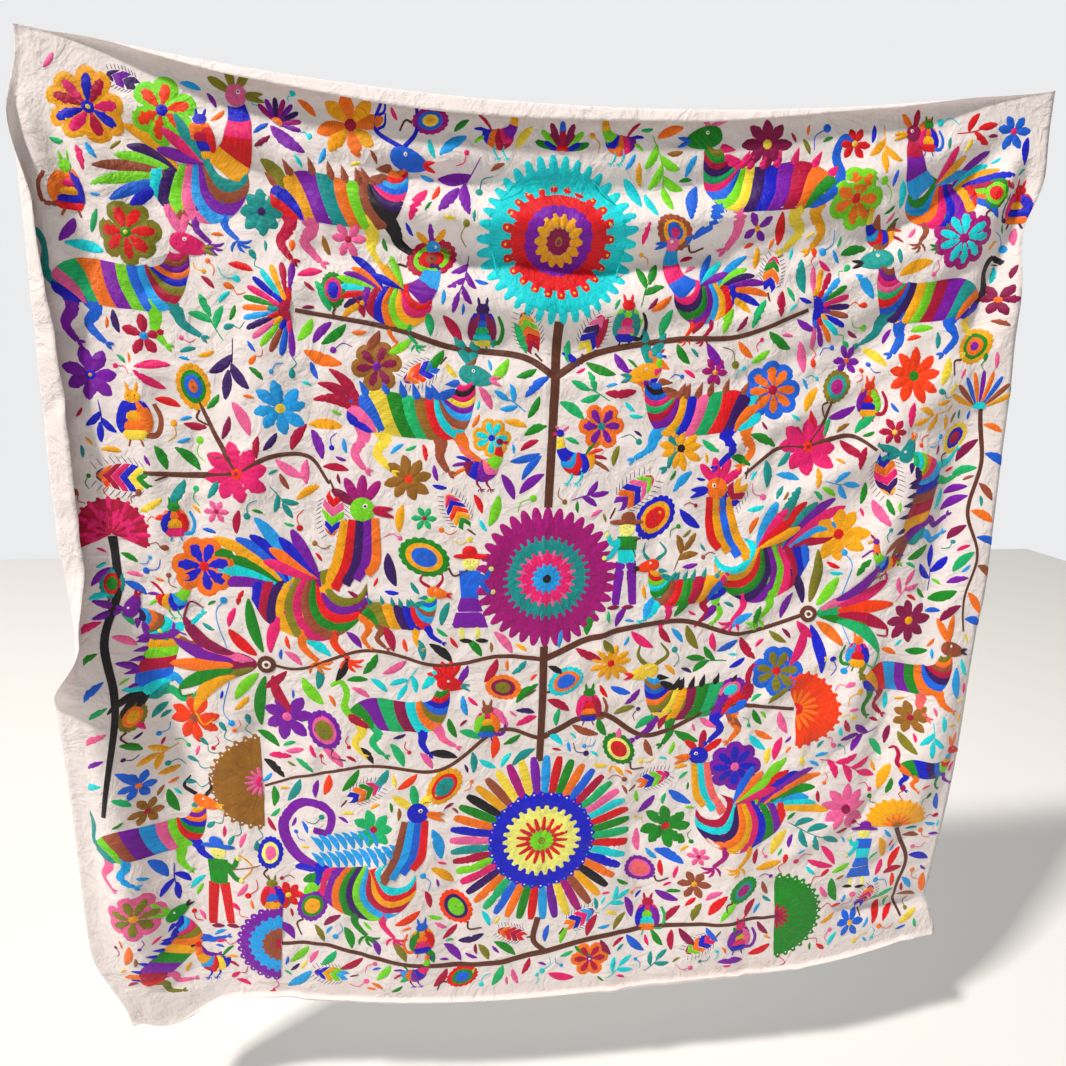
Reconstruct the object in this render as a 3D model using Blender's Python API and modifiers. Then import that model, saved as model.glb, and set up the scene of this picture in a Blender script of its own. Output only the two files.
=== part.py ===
"""Embroidered cotton cloth, about two metres square, hanging by its two top corners.

Metres, +Z up. The front faces -Y and +X is to the right of somebody who looks at it. The origin is
the middle of the top fold line. The cloth is one sheet: a grid whose points are moved to where they
hang, and then given its thickness. "Across" runs left to right from the middle and "down" runs from
the level of the two held corners.
"""

from collections import namedtuple
from math import radians

import bmesh
import bpy
import numpy as np

COLLECTION_NAME = "embroidered_cloth"

# Driving sizes
LENGTH = 2.0            # top fold line to the bottom turn, measured at the corners
THICKNESS = 0.002       # cotton and its satin stitch together
TOP_FLAP = 0.055        # strip above the top fold line, which flops forward
SIDE_STRIP = 0.075      # strip past the left fold line, which curls forward
BOTTOM_STRIP = 0.035    # strip past the bottom turn, which rolls forward
TURN_RADIUS = 0.009     # every turned strip bends round this radius
TOP_SAG = 0.086         # how far the top edge hangs below its held corners
BOTTOM_SAG = 0.062      # the same for the bottom edge

# Grid: rows and columns are closer together where the cloth turns
MAIN_COLUMNS = 40
MAIN_ROWS = 39
TURN_STEPS = 4
TYPICAL_TURN = 160.0    # degrees, for spacing the grid round a turn
FLAT_STEPS = 2

# Sheet colour and finish
CLOTH_COLOUR = (0.86, 0.81, 0.76, 1.0)
CLOTH_ROUGHNESS = 0.9

Edge = namedtuple("Edge", "place amount")
Fold = namedtuple("Fold", "across down to_across to_down bow width height")
Billow = namedtuple("Billow", "across down half_wide half_tall height")

# Where the two side fold lines run: place is the distance down, amount the distance across
LEFT_EDGE = (
    Edge(0.00, -1.000), Edge(0.15, -1.012), Edge(0.90, -1.016), Edge(1.18, -0.990),
    Edge(1.60, -1.022), Edge(1.88, -1.030), Edge(2.10, -0.965),
)
RIGHT_EDGE = (
    Edge(0.00, 1.000), Edge(0.15, 0.998), Edge(0.28, 0.968), Edge(0.62, 0.992),
    Edge(1.05, 0.996), Edge(1.30, 0.973), Edge(1.86, 0.972), Edge(2.02, 1.024),
)

# How far each strip is turned forward, in degrees, along its fold line
TOP_TURN = (
    Edge(-0.98, 20.0), Edge(-0.80, 135.0), Edge(-0.30, 158.0), Edge(0.25, 164.0),
    Edge(0.78, 150.0), Edge(0.97, 20.0),
)
SIDE_TURN = (
    Edge(0.02, 15.0), Edge(0.30, 150.0), Edge(0.95, 162.0), Edge(1.12, 120.0),
    Edge(1.30, 22.0), Edge(2.00, 8.0),
)
BOTTOM_TURN = (
    Edge(-0.88, 12.0), Edge(-0.68, 150.0), Edge(0.10, 168.0), Edge(0.88, 155.0), Edge(0.98, 20.0),
)

# Share of its full width that each strip has along its fold line: the fold lines run out to the corners
TOP_SHARE = (
    Edge(-0.99, 0.12), Edge(-0.62, 0.85), Edge(-0.25, 1.00), Edge(0.22, 0.82),
    Edge(0.62, 0.52), Edge(0.97, 0.12),
)
SIDE_SHARE = (
    Edge(0.01, 0.12), Edge(0.34, 0.80), Edge(0.70, 1.00), Edge(1.20, 0.90), Edge(1.60, 0.55), Edge(2.02, 0.35),
)
BOTTOM_SHARE = (
    Edge(-0.92, 0.30), Edge(-0.55, 0.90), Edge(-0.10, 0.70), Edge(0.35, 1.00), Edge(0.95, 0.45),
)

# Folds, each a soft ridge (height above 0) or trough along a bowed line
FOLDS = (
    # fanning out of the held left corner
    Fold(-0.99, 0.02, -0.95, 0.52, 0.012, 0.030, 0.019),
    Fold(-0.99, 0.02, -0.87, 0.48, 0.016, 0.030, -0.021),
    Fold(-0.99, 0.02, -0.72, 0.50, 0.030, 0.036, 0.026),
    Fold(-0.98, 0.02, -0.55, 0.36, 0.030, 0.036, -0.021),
    Fold(-0.98, 0.02, -0.28, 0.24, 0.040, 0.036, 0.021),
    # fanning out of the held right corner
    Fold(0.98, 0.02, 0.955, 0.56, -0.012, 0.030, 0.019),
    Fold(0.98, 0.02, 0.85, 0.62, -0.018, 0.032, -0.024),
    Fold(0.98, 0.02, 0.64, 0.56, -0.035, 0.038, 0.026),
    Fold(0.98, 0.02, 0.44, 0.42, -0.035, 0.036, -0.022),
    Fold(0.97, 0.02, 0.22, 0.25, -0.040, 0.036, 0.021),
    # swags that hang between the corners
    Fold(-0.66, 0.16, 0.64, 0.14, 0.075, 0.034, -0.021),
    Fold(-0.58, 0.22, 0.55, 0.20, 0.085, 0.036, 0.024),
    Fold(-0.50, 0.29, 0.48, 0.28, 0.085, 0.038, -0.022),
    Fold(-0.42, 0.37, 0.40, 0.38, 0.080, 0.040, 0.019),
    Fold(-0.34, 0.47, 0.30, 0.47, 0.070, 0.045, -0.014),
    # long slanting folds below the right corner
    Fold(0.90, 0.24, 0.48, 0.62, -0.050, 0.045, -0.026),
    Fold(0.93, 0.46, 0.36, 0.90, -0.055, 0.050, 0.022),
    Fold(0.90, 0.58, 0.84, 1.18, -0.020, 0.045, -0.029),
    Fold(0.79, 0.68, 0.64, 1.08, -0.025, 0.045, 0.032),
    Fold(0.71, 1.12, 0.61, 1.45, -0.020, 0.045, 0.026),
    Fold(0.92, 1.12, 0.84, 1.72, -0.020, 0.055, 0.026),
    Fold(0.80, 1.20, 0.72, 1.76, -0.020, 0.050, -0.022),
    # the left side
    Fold(-0.62, 0.42, -0.68, 0.98, -0.020, 0.060, 0.016),
    Fold(-1.01, 0.96, -0.93, 2.14, 0.000, 0.065, 0.060),
    Fold(-0.89, 0.90, -0.74, 2.06, 0.020, 0.060, -0.020),
    Fold(-0.66, 1.20, -0.58, 1.98, 0.020, 0.070, -0.022),
    # the lower part
    Fold(-0.40, 1.56, -0.30, 2.04, 0.020, 0.060, 0.016),
    Fold(0.16, 1.50, 0.24, 2.06, -0.020, 0.065, -0.018),
    Fold(0.46, 1.56, 0.42, 2.06, 0.020, 0.060, 0.019),
    Fold(0.68, 1.90, 1.02, 1.90, 0.010, 0.030, -0.022),
    # pressed creases from storing it folded
    Fold(-0.05, 0.08, -0.05, 2.06, 0.000, 0.016, 0.003),
    Fold(-0.50, 0.06, -0.54, 2.04, 0.000, 0.016, -0.003),
    Fold(0.43, 0.06, 0.45, 2.06, 0.000, 0.016, 0.003),
    Fold(-1.00, 1.05, -0.05, 1.05, 0.000, 0.016, 0.003),
    Fold(-0.05, 1.00, 1.00, 1.00, 0.000, 0.016, 0.003),
)

# Broad slack in the cloth
BILLOWS = (
    Billow(-0.95, 1.55, 0.30, 0.50, -0.040),
    Billow(-0.78, 2.22, 0.34, 0.30, -0.048),
    Billow(-0.20, 0.95, 0.50, 0.45, 0.018),
    Billow(0.30, 1.70, 0.45, 0.45, -0.020),
    Billow(0.72, 1.52, 0.30, 0.36, 0.026),
    Billow(1.04, 2.06, 0.30, 0.36, -0.052),
)

TOP_FADE = 0.16         # folds die out towards the taut top edge over this distance
CORNER_DROP = 0.100     # the lower left corner hangs to a point
CORNER_REACH = 0.12     # half width of that point, as a share of half the cloth
CORNER_PLACE = -0.96    # and where it hangs, on the same scale
FADE_IN = 0.25          # share of a fold's line over which it rises
FADE_OUT = 0.35         # and over which it dies out again


def eased(value, rows):
    """Follow a table of edge rows, with one eased step from each row to the next."""
    result = np.full_like(value, rows[0].amount)
    for first, second in zip(rows, rows[1:]):
        share = np.clip((value - first.place) / (second.place - first.place), 0.0, 1.0)
        result += (second.amount - first.amount) * share * share * (3.0 - 2.0 * share)
    return result


def ramp(value, length):
    """Rise from 0 to 1 over a length, easing in and out."""
    share = np.clip(value / length, 0.0, 1.0)
    return share * share * (3.0 - 2.0 * share)


def fold_height(fold, across, down):
    """A ridge with a bell-shaped section along a bowed line, fading at both ends."""
    run = np.array((fold.to_across - fold.across, fold.to_down - fold.down))
    length = np.hypot(*run)
    along = ((across - fold.across) * run[0] + (down - fold.down) * run[1]) / length
    aside = ((down - fold.down) * run[0] - (across - fold.across) * run[1]) / length
    share = np.clip(along / length, 0.0, 1.0)
    off_line = aside - fold.bow * 4.0 * share * (1.0 - share)
    fade = ramp(share, FADE_IN) * ramp(1.0 - share, FADE_OUT)
    return fold.height * fade * np.exp(-((off_line / fold.width) ** 2))


def forward(across, down):
    """How far the cloth stands forward of the plane through its top edge."""
    total = np.zeros_like(across)
    for fold in FOLDS:
        total += fold_height(fold, across, down)
    for billow in BILLOWS:
        wide = (across - billow.across) / billow.half_wide
        tall = (down - billow.down) / billow.half_tall
        total += billow.height * np.exp(-wide * wide - tall * tall)
    return total * ramp(down - TOP_SAG * (1.0 - across * across), TOP_FADE)


def turned(beyond, degrees):
    """Carry a strip round a fold line: how far it then reaches outwards, and how far forwards."""
    angle = np.radians(degrees)
    bend = np.minimum(beyond, TURN_RADIUS * angle)
    straight = beyond - bend
    outwards = TURN_RADIUS * np.sin(bend / TURN_RADIUS) + straight * np.cos(angle)
    forwards = TURN_RADIUS * (1.0 - np.cos(bend / TURN_RADIUS)) + straight * np.sin(angle)
    return outwards, forwards


def hang(column, row):
    """Where the point of the flat cloth at this column and row hangs.

    Column is -1 to 1 between the side fold lines and row is 0 to 1 between the top fold line and the
    bottom turn. Values past those are metres on a strip at its full width, added to -1, 0 or 1.
    """
    side = np.clip(column, -1.0, 1.0)
    level = np.clip(row, 0.0, 1.0)
    bulge = 1.0 - side * side
    top = TOP_SAG * bulge
    droop = CORNER_DROP * np.exp(-(((side - CORNER_PLACE) / CORNER_REACH) ** 2))
    bottom = LENGTH + BOTTOM_SAG * bulge + droop
    down = top + (bottom - top) * level
    left_line = eased(down, LEFT_EDGE)
    right_line = eased(down, RIGHT_EDGE)
    across = left_line + (right_line - left_line) * (side + 1.0) / 2.0

    above = np.maximum(-row, 0.0) * eased(across, TOP_SHARE)
    beside = np.maximum(-1.0 - column, 0.0) * eased(down, SIDE_SHARE)
    below = np.maximum(row - 1.0, 0.0) * eased(across, BOTTOM_SHARE)
    up_reach, up_out = turned(above, eased(across, TOP_TURN))
    left_reach, left_out = turned(beside, eased(down, SIDE_TURN))
    low_reach, low_out = turned(below, eased(across, BOTTOM_TURN))
    across = across - left_reach
    down = down - up_reach + low_reach
    out = forward(across, down) + up_out + left_out + low_out
    return np.stack((across, -out, TOP_SAG - down), axis=-1)


def steps(strip, at_far_end):
    """Grid lines on a turned strip: close together round the bend, then wider."""
    bend = TURN_RADIUS * radians(TYPICAL_TURN)
    lines = np.concatenate((
        np.linspace(0.0, bend, TURN_STEPS + 1)[1:],
        np.linspace(bend, strip, FLAT_STEPS + 1)[1:],
    ))
    return lines if at_far_end else -lines[::-1]


def grid_columns():
    """Column values of the grid, from the edge of the left strip to the right edge."""
    return np.concatenate((-1.0 + steps(SIDE_STRIP, False), np.linspace(-1.0, 1.0, MAIN_COLUMNS + 1)))


def grid_rows():
    """Row values of the grid, from the edge of the top flap to the edge of the bottom strip."""
    return np.concatenate((
        steps(TOP_FLAP, False),
        np.linspace(0.0, 1.0, MAIN_ROWS + 1),
        1.0 + steps(BOTTOM_STRIP, True),
    ))


def cloth_material():
    """Plain unbleached cotton."""
    material = bpy.data.materials.new("cotton_manta")
    material.use_nodes = True
    shader = material.node_tree.nodes["Principled BSDF"]
    shader.inputs["Base Color"].default_value = CLOTH_COLOUR
    shader.inputs["Roughness"].default_value = CLOTH_ROUGHNESS
    shader.inputs["Metallic"].default_value = 0.0
    return material


def make_cloth(collection):
    """One sheet: a flat grid, hung, with Solidify for its thickness."""
    columns = grid_columns()
    rows = grid_rows()
    sheet = bmesh.new()
    bmesh.ops.create_grid(sheet, x_segments=len(columns) - 1, y_segments=len(rows) - 1, size=1.0)
    flat = np.array([vert.co for vert in sheet.verts])
    column_of = np.rint((flat[:, 0] + 1.0) / 2.0 * (len(columns) - 1)).astype(int)
    row_of = np.rint((1.0 - flat[:, 1]) / 2.0 * (len(rows) - 1)).astype(int)
    hung = hang(columns[column_of], rows[row_of])
    mesh = bpy.data.meshes.new("cloth")
    sheet.to_mesh(mesh)
    sheet.free()
    mesh.vertices.foreach_set("co", hung.astype(np.float32).ravel())
    mesh.shade_smooth()
    mesh.update()
    cloth = bpy.data.objects.new("cloth", mesh)
    cloth.data.materials.append(cloth_material())
    thicken = cloth.modifiers.new("thickness", "SOLIDIFY")
    thicken.thickness = THICKNESS
    thicken.offset = 0.0
    collection.objects.link(cloth)
    return cloth


def main():
    """Clear the scene and build the cloth."""
    for old in list(bpy.data.objects):
        bpy.data.objects.remove(old)
    collection = bpy.data.collections.new(COLLECTION_NAME)
    bpy.context.scene.collection.children.link(collection)
    make_cloth(collection)


main()
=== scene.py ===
"""Hanging cotton cloth with satin-stitch embroidery: the visual model.

Metres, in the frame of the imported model: the origin is the middle of the top fold line, +Z is up and the
embroidered front faces -Y. A place on the cloth is given as "across", from the middle to the right, and
"down", from the level of the two held corners. The sheet is one surface of two parameters, and every
stitched patch is a small grid drawn on the flat cloth and then carried onto that surface.
"""

import logging
from collections.abc import Sequence
from dataclasses import dataclass, field
from enum import Enum
from math import cos, hypot, pi, radians, sin
from typing import NamedTuple, TypeVar

import bpy
import numpy as np
from mathutils import Matrix


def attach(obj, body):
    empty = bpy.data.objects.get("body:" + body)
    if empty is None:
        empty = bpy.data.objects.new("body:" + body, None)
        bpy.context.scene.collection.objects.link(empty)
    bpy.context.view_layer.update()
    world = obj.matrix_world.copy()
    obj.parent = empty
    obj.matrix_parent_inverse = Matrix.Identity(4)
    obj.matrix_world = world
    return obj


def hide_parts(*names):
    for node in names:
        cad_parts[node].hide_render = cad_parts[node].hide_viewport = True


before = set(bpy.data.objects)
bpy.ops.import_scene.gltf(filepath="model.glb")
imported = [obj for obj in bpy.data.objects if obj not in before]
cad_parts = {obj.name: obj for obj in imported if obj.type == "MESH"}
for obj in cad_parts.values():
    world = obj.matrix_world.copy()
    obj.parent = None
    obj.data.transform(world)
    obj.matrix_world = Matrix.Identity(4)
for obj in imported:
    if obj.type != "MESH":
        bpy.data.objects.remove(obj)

LOG = logging.getLogger("cloth")
Row = TypeVar("Row")
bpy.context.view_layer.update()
CLOTH_NODE = "cloth"
BODY = "root"
MM = 0.001
MIX_COLOUR_A, MIX_COLOUR_B, MIX_COLOUR_OUT = 6, 7, 2    # sockets of a Mix node that share their names


# ---- Colours of the thread ----

class Thread(Enum):
    """Embroidery threads: the letter that charts use for each, and its sRGB colour."""

    CRIMSON = ("c", "#B4003A")
    HOT_PINK = ("h", "#E8186E")
    PINK = ("p", "#F0629C")
    MAROON = ("m", "#8A0748")
    FUCHSIA = ("a", "#A80078")
    VIOLET = ("v", "#7808A4")
    DARK_VIOLET = ("d", "#340860")
    ROYAL = ("n", "#0A14C4")
    BLUE = ("u", "#1062DC")
    SKY = ("s", "#18A0EC")
    TURQUOISE = ("t", "#00D6DE")
    TEAL = ("e", "#0C9490")
    JADE = ("j", "#10B468")
    GREEN = ("g", "#12881A")
    LIME = ("l", "#78D81C")
    OLIVE = ("o", "#807C14")
    GOLD = ("w", "#F4A808")
    YELLOW = ("f", "#F6D83C")
    PALE_YELLOW = ("i", "#F4F07C")
    RED = ("r", "#DE0A16")
    ORANGE = ("q", "#F67412")
    VERMILION = ("z", "#F43C04")
    BROWN = ("b", "#9A4C30")
    CHESTNUT = ("y", "#9A661C")
    BLACK = ("k", "#1A141A")
    BARK = ("x", "#633424")
    CORAL = ("1", "#F86A68")
    WHITE = ("0", "#F4EEE6")

    @property
    def letter(self) -> str:
        """The letter that stands for this thread in a chart."""
        return self.value[0]

    @property
    def rgb(self) -> tuple[float, float, float]:
        """The thread's linear colour."""
        return linear(self.value[1])


def linear(code: str) -> tuple[float, float, float]:
    """Turn an sRGB hex colour into linear red, green and blue.

    Args:
        code: A colour such as "#F0EAE2".

    Returns:
        Each channel c as c / 12.92 below 0.04045, and as ((c + 0.055) / 1.055) to the power 2.4 above.
    """
    channels = (int(code[start:start + 2], 16) / 255.0 for start in (1, 3, 5))
    red, green, blue = (c / 12.92 if c <= 0.04045 else ((c + 0.055) / 1.055) ** 2.4 for c in channels)
    return red, green, blue


CHART = {thread.letter: thread.rgb for thread in Thread}


# ---- The shape in which the cloth hangs, with the same sizes as the solid ----

class Edge(NamedTuple):
    """One row of an edge table: a place along the edge, and the amount there."""

    place: float
    amount: float


def charted(kind: type[Row], *rows: tuple[object, ...]) -> tuple[Row, ...]:
    """Make one figure, fold or place from each row of a chart."""
    return tuple(kind(*row) for row in rows)


class Fold(NamedTuple):
    """A soft ridge, or a trough where its height is below 0, along a bowed line."""

    across: float
    down: float
    to_across: float
    to_down: float
    bow: float
    width: float
    height: float


class Billow(NamedTuple):
    """A broad soft bulge forward, or back where its height is below 0."""

    across: float
    down: float
    half_wide: float
    half_tall: float
    height: float


LENGTH = 2.0
TOP_FLAP = 0.055
SIDE_STRIP = 0.075
BOTTOM_STRIP = 0.035
TURN_RADIUS = 0.009
TOP_SAG = 0.086
BOTTOM_SAG = 0.062
TOP_FADE = 0.16
CORNER_DROP = 0.1
CORNER_REACH = 0.12
CORNER_PLACE = -0.96
STEEPEST_TURN = 160.0    # degrees: sets how long a strip's finely divided bend is
FOLD_FADE_IN = 0.25      # share of its line over which a fold rises, and over which it dies away
FOLD_FADE_OUT = 0.35

LEFT_EDGE = charted(
    Edge,
    (0, -1), (0.15, -1.012), (0.9, -1.016), (1.18, -0.99), (1.6, -1.022), (1.88, -1.03), (2.1, -0.965),
)
RIGHT_EDGE = charted(
    Edge,
    (0, 1), (0.15, 0.998), (0.28, 0.968), (0.62, 0.992), (1.05, 0.996), (1.3, 0.973), (1.86, 0.972),
    (2.02, 1.024),
)
TOP_TURN = charted(Edge, (-0.98, 20), (-0.8, 135), (-0.3, 158), (0.25, 164), (0.78, 150), (0.97, 20))
SIDE_TURN = charted(Edge, (0.02, 15), (0.3, 150), (0.95, 162), (1.12, 120), (1.3, 22), (2, 8))
BOTTOM_TURN = charted(Edge, (-0.88, 12), (-0.68, 150), (0.1, 168), (0.88, 155), (0.98, 20))
TOP_SHARE = charted(Edge, (-0.99, 0.12), (-0.62, 0.85), (-0.25, 1), (0.22, 0.82), (0.62, 0.52), (0.97, 0.12))
SIDE_SHARE = charted(Edge, (0.01, 0.12), (0.34, 0.8), (0.7, 1), (1.2, 0.9), (1.6, 0.55), (2.02, 0.35))
BOTTOM_SHARE = charted(Edge, (-0.92, 0.3), (-0.55, 0.9), (-0.1, 0.7), (0.35, 1), (0.95, 0.45))

MAIN_FOLDS = charted(
    Fold,
    # fanning out of the held left corner
    (-0.99, 0.02, -0.95, 0.52, 0.012, 0.03, 0.019),
    (-0.99, 0.02, -0.87, 0.48, 0.016, 0.03, -0.021),
    (-0.99, 0.02, -0.72, 0.5, 0.03, 0.036, 0.026),
    (-0.98, 0.02, -0.55, 0.36, 0.03, 0.036, -0.021),
    (-0.98, 0.02, -0.28, 0.24, 0.04, 0.036, 0.021),
    # fanning out of the held right corner
    (0.98, 0.02, 0.955, 0.56, -0.012, 0.03, 0.019),
    (0.98, 0.02, 0.85, 0.62, -0.018, 0.032, -0.024),
    (0.98, 0.02, 0.64, 0.56, -0.035, 0.038, 0.026),
    (0.98, 0.02, 0.44, 0.42, -0.035, 0.036, -0.022),
    (0.97, 0.02, 0.22, 0.25, -0.04, 0.036, 0.021),
    # swags that hang between the corners
    (-0.66, 0.16, 0.64, 0.14, 0.075, 0.034, -0.021),
    (-0.58, 0.22, 0.55, 0.2, 0.085, 0.036, 0.024),
    (-0.5, 0.29, 0.48, 0.28, 0.085, 0.038, -0.022),
    (-0.42, 0.37, 0.4, 0.38, 0.08, 0.04, 0.019),
    (-0.34, 0.47, 0.3, 0.47, 0.07, 0.045, -0.014),
    # long slanting folds below the right corner
    (0.9, 0.24, 0.48, 0.62, -0.05, 0.045, -0.026),
    (0.93, 0.46, 0.36, 0.9, -0.055, 0.05, 0.022),
    (0.9, 0.58, 0.84, 1.18, -0.02, 0.045, -0.029),
    (0.79, 0.68, 0.64, 1.08, -0.025, 0.045, 0.032),
    (0.71, 1.12, 0.61, 1.45, -0.02, 0.045, 0.026),
    (0.92, 1.12, 0.84, 1.72, -0.02, 0.055, 0.026),
    (0.8, 1.2, 0.72, 1.76, -0.02, 0.05, -0.022),
    # the left side
    (-0.62, 0.42, -0.68, 0.98, -0.02, 0.06, 0.016),
    (-1.01, 0.96, -0.93, 2.14, 0, 0.065, 0.06),
    (-0.89, 0.9, -0.74, 2.06, 0.02, 0.06, -0.02),
    (-0.66, 1.2, -0.58, 1.98, 0.02, 0.07, -0.022),
    # the lower part
    (-0.4, 1.56, -0.3, 2.04, 0.02, 0.06, 0.016),
    (0.16, 1.5, 0.24, 2.06, -0.02, 0.065, -0.018),
    (0.46, 1.56, 0.42, 2.06, 0.02, 0.06, 0.019),
    (0.68, 1.9, 1.02, 1.9, 0.01, 0.03, -0.022),
)

FINE_FOLDS = charted(
    Fold,
    # thin swags left of the middle
    (-0.8, 0.12, -0.1, 0.17, 0.03, 0.019, 0.0085),
    (-0.74, 0.17, -0.14, 0.24, 0.034, 0.018, -0.0075),
    (-0.66, 0.24, -0.12, 0.31, 0.032, 0.019, 0.0085),
    (-0.62, 0.32, -0.1, 0.38, 0.034, 0.018, -0.008),
    (-0.7, 0.38, -0.06, 0.46, 0.03, 0.019, 0.0085),
    (-0.52, 0.5, -0.02, 0.54, 0.022, 0.019, -0.007),
    (-0.46, 0.58, 0.06, 0.6, 0.02, 0.02, 0.0075),
    (-0.6, 0.66, -0.14, 0.72, 0.02, 0.02, -0.0065),
    # thin folds right of the middle, rising to the held corner
    (0.14, 0.3, 0.7, 0.14, 0.03, 0.019, 0.0085),
    (0.12, 0.4, 0.84, 0.18, 0.034, 0.02, -0.0085),
    (0.16, 0.52, 0.9, 0.22, 0.036, 0.02, 0.009),
    (0.22, 0.64, 0.92, 0.3, 0.034, 0.02, -0.0085),
    (0.26, 0.76, 0.84, 0.44, 0.03, 0.021, 0.009),
    (0.24, 0.92, 0.76, 0.62, 0.026, 0.021, -0.008),
    (0.12, 1.14, 0.58, 0.84, 0.024, 0.022, 0.009),
    (0.22, 1.28, 0.66, 0.98, 0.022, 0.022, -0.008),
    (0.34, 1.4, 0.74, 1.08, 0.022, 0.022, 0.0085),
    (0.52, 1.6, 0.84, 1.22, 0.022, 0.022, -0.008),
    (0.5, 1.78, 0.9, 1.4, 0.02, 0.022, 0.0085),
    (0.62, 1.92, 0.94, 1.62, 0.016, 0.02, -0.007),
    # upright folds at the left
    (-0.84, 0.44, -0.82, 1.1, 0.012, 0.021, 0.008),
    (-0.74, 0.6, -0.76, 1.26, 0.012, 0.021, -0.0075),
    (-0.6, 1.3, -0.64, 1.9, 0.014, 0.022, 0.0075),
    (-0.22, 1.62, -0.24, 2.04, 0.01, 0.022, -0.0065),
)

PRESSED_CREASES = charted(
    Fold,
    (-0.05, 0.08, -0.05, 2.06, 0, 0.011, 0.0032), (-0.5, 0.06, -0.54, 2.04, 0, 0.011, -0.003),
    (0.43, 0.06, 0.45, 2.06, 0, 0.011, 0.003), (-1, 1.05, -0.05, 1.05, 0, 0.011, 0.0032),
    (-0.05, 1, 1, 1, 0, 0.011, 0.0032), (-0.96, 1.54, 0.96, 1.52, 0, 0.011, -0.0022),
)

BILLOWS = charted(
    Billow,
    (-0.95, 1.55, 0.3, 0.5, -0.04), (-0.78, 2.22, 0.34, 0.3, -0.048), (-0.2, 0.95, 0.5, 0.45, 0.018),
    (0.3, 1.7, 0.45, 0.45, -0.02), (0.72, 1.52, 0.3, 0.36, 0.026), (1.04, 2.06, 0.3, 0.36, -0.052),
)


def eased(value: np.ndarray, rows: Sequence[Edge]) -> np.ndarray:
    """Follow an edge table, with one eased step from each row to the next.

    Args:
        value: Places along the edge.
        rows: The table, in order of place.

    Returns:
        The first amount plus, for each pair of rows, their difference times 3q^2 - 2q^3, where q is how
        far the value has come between them, from 0 to 1.
    """
    result = np.full_like(value, rows[0].amount)
    for first, second in zip(rows, rows[1:]):
        share = np.clip((value - first.place) / (second.place - first.place), 0.0, 1.0)
        result += (second.amount - first.amount) * share * share * (3.0 - 2.0 * share)
    return result


def ramp(value: np.ndarray, length: float) -> np.ndarray:
    """Rise from 0 to 1 over a length as 3q^2 - 2q^3."""
    share = np.clip(value / length, 0.0, 1.0)
    return share * share * (3.0 - 2.0 * share)


def fold_height(fold: Fold, across: np.ndarray, down: np.ndarray) -> np.ndarray:
    """The height of one fold.

    Args:
        fold: Its line and its section.
        across: Places across the cloth.
        down: Places down the cloth.

    Returns:
        height * exp(-(offset / width)^2), with the offset taken from a line that is bowed by
        4 q (1 - q) of its bow, and faded over the first quarter and the last third of the line.
    """
    run_across = fold.to_across - fold.across
    run_down = fold.to_down - fold.down
    length = hypot(run_across, run_down)
    along = ((across - fold.across) * run_across + (down - fold.down) * run_down) / length
    aside = ((down - fold.down) * run_across - (across - fold.across) * run_down) / length
    share = np.clip(along / length, 0.0, 1.0)
    offset = aside - fold.bow * 4.0 * share * (1.0 - share)
    fade = ramp(share, FOLD_FADE_IN) * ramp(1.0 - share, FOLD_FADE_OUT)
    return fold.height * fade * np.exp(-((offset / fold.width) ** 2))


@dataclass
class Crumple:
    """Small creases all over, as in cotton that was carried folded: short ridges drawn by seeded chance."""

    seed: int = 11
    count: int = 520
    shortest: float = 0.06
    longest: float = 0.22
    narrowest: float = 0.013
    widest: float = 0.022
    highest: float = 0.0048

    def folds(self) -> list[Fold]:
        """Draw the creases.

        Returns:
            Short folds that lie level near the top and in the middle, and lean towards the corners at
            the sides, as the pull of the two held corners turns them.
        """
        draw = np.random.default_rng(self.seed)
        rows = []
        for _ in range(self.count):
            across, down = draw.uniform(-0.97, 0.97), draw.uniform(0.06, 2.02)
            length = draw.uniform(self.shortest, self.longest)
            pull = np.arctan2(down + 0.25, across * 1.1) + pi / 2.0
            angle = pull * (0.25 + 0.55 * abs(across)) + draw.normal(0.0, 0.45)
            height = draw.uniform(0.3, 1.0) * self.highest * draw.choice((-1.0, 1.0))
            rows.append(
                Fold(
                    across, down, across + length * cos(angle), down + length * sin(angle),
                    draw.normal(0.0, 0.08) * length, draw.uniform(self.narrowest, self.widest), height,
                )
            )
        return rows


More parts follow.
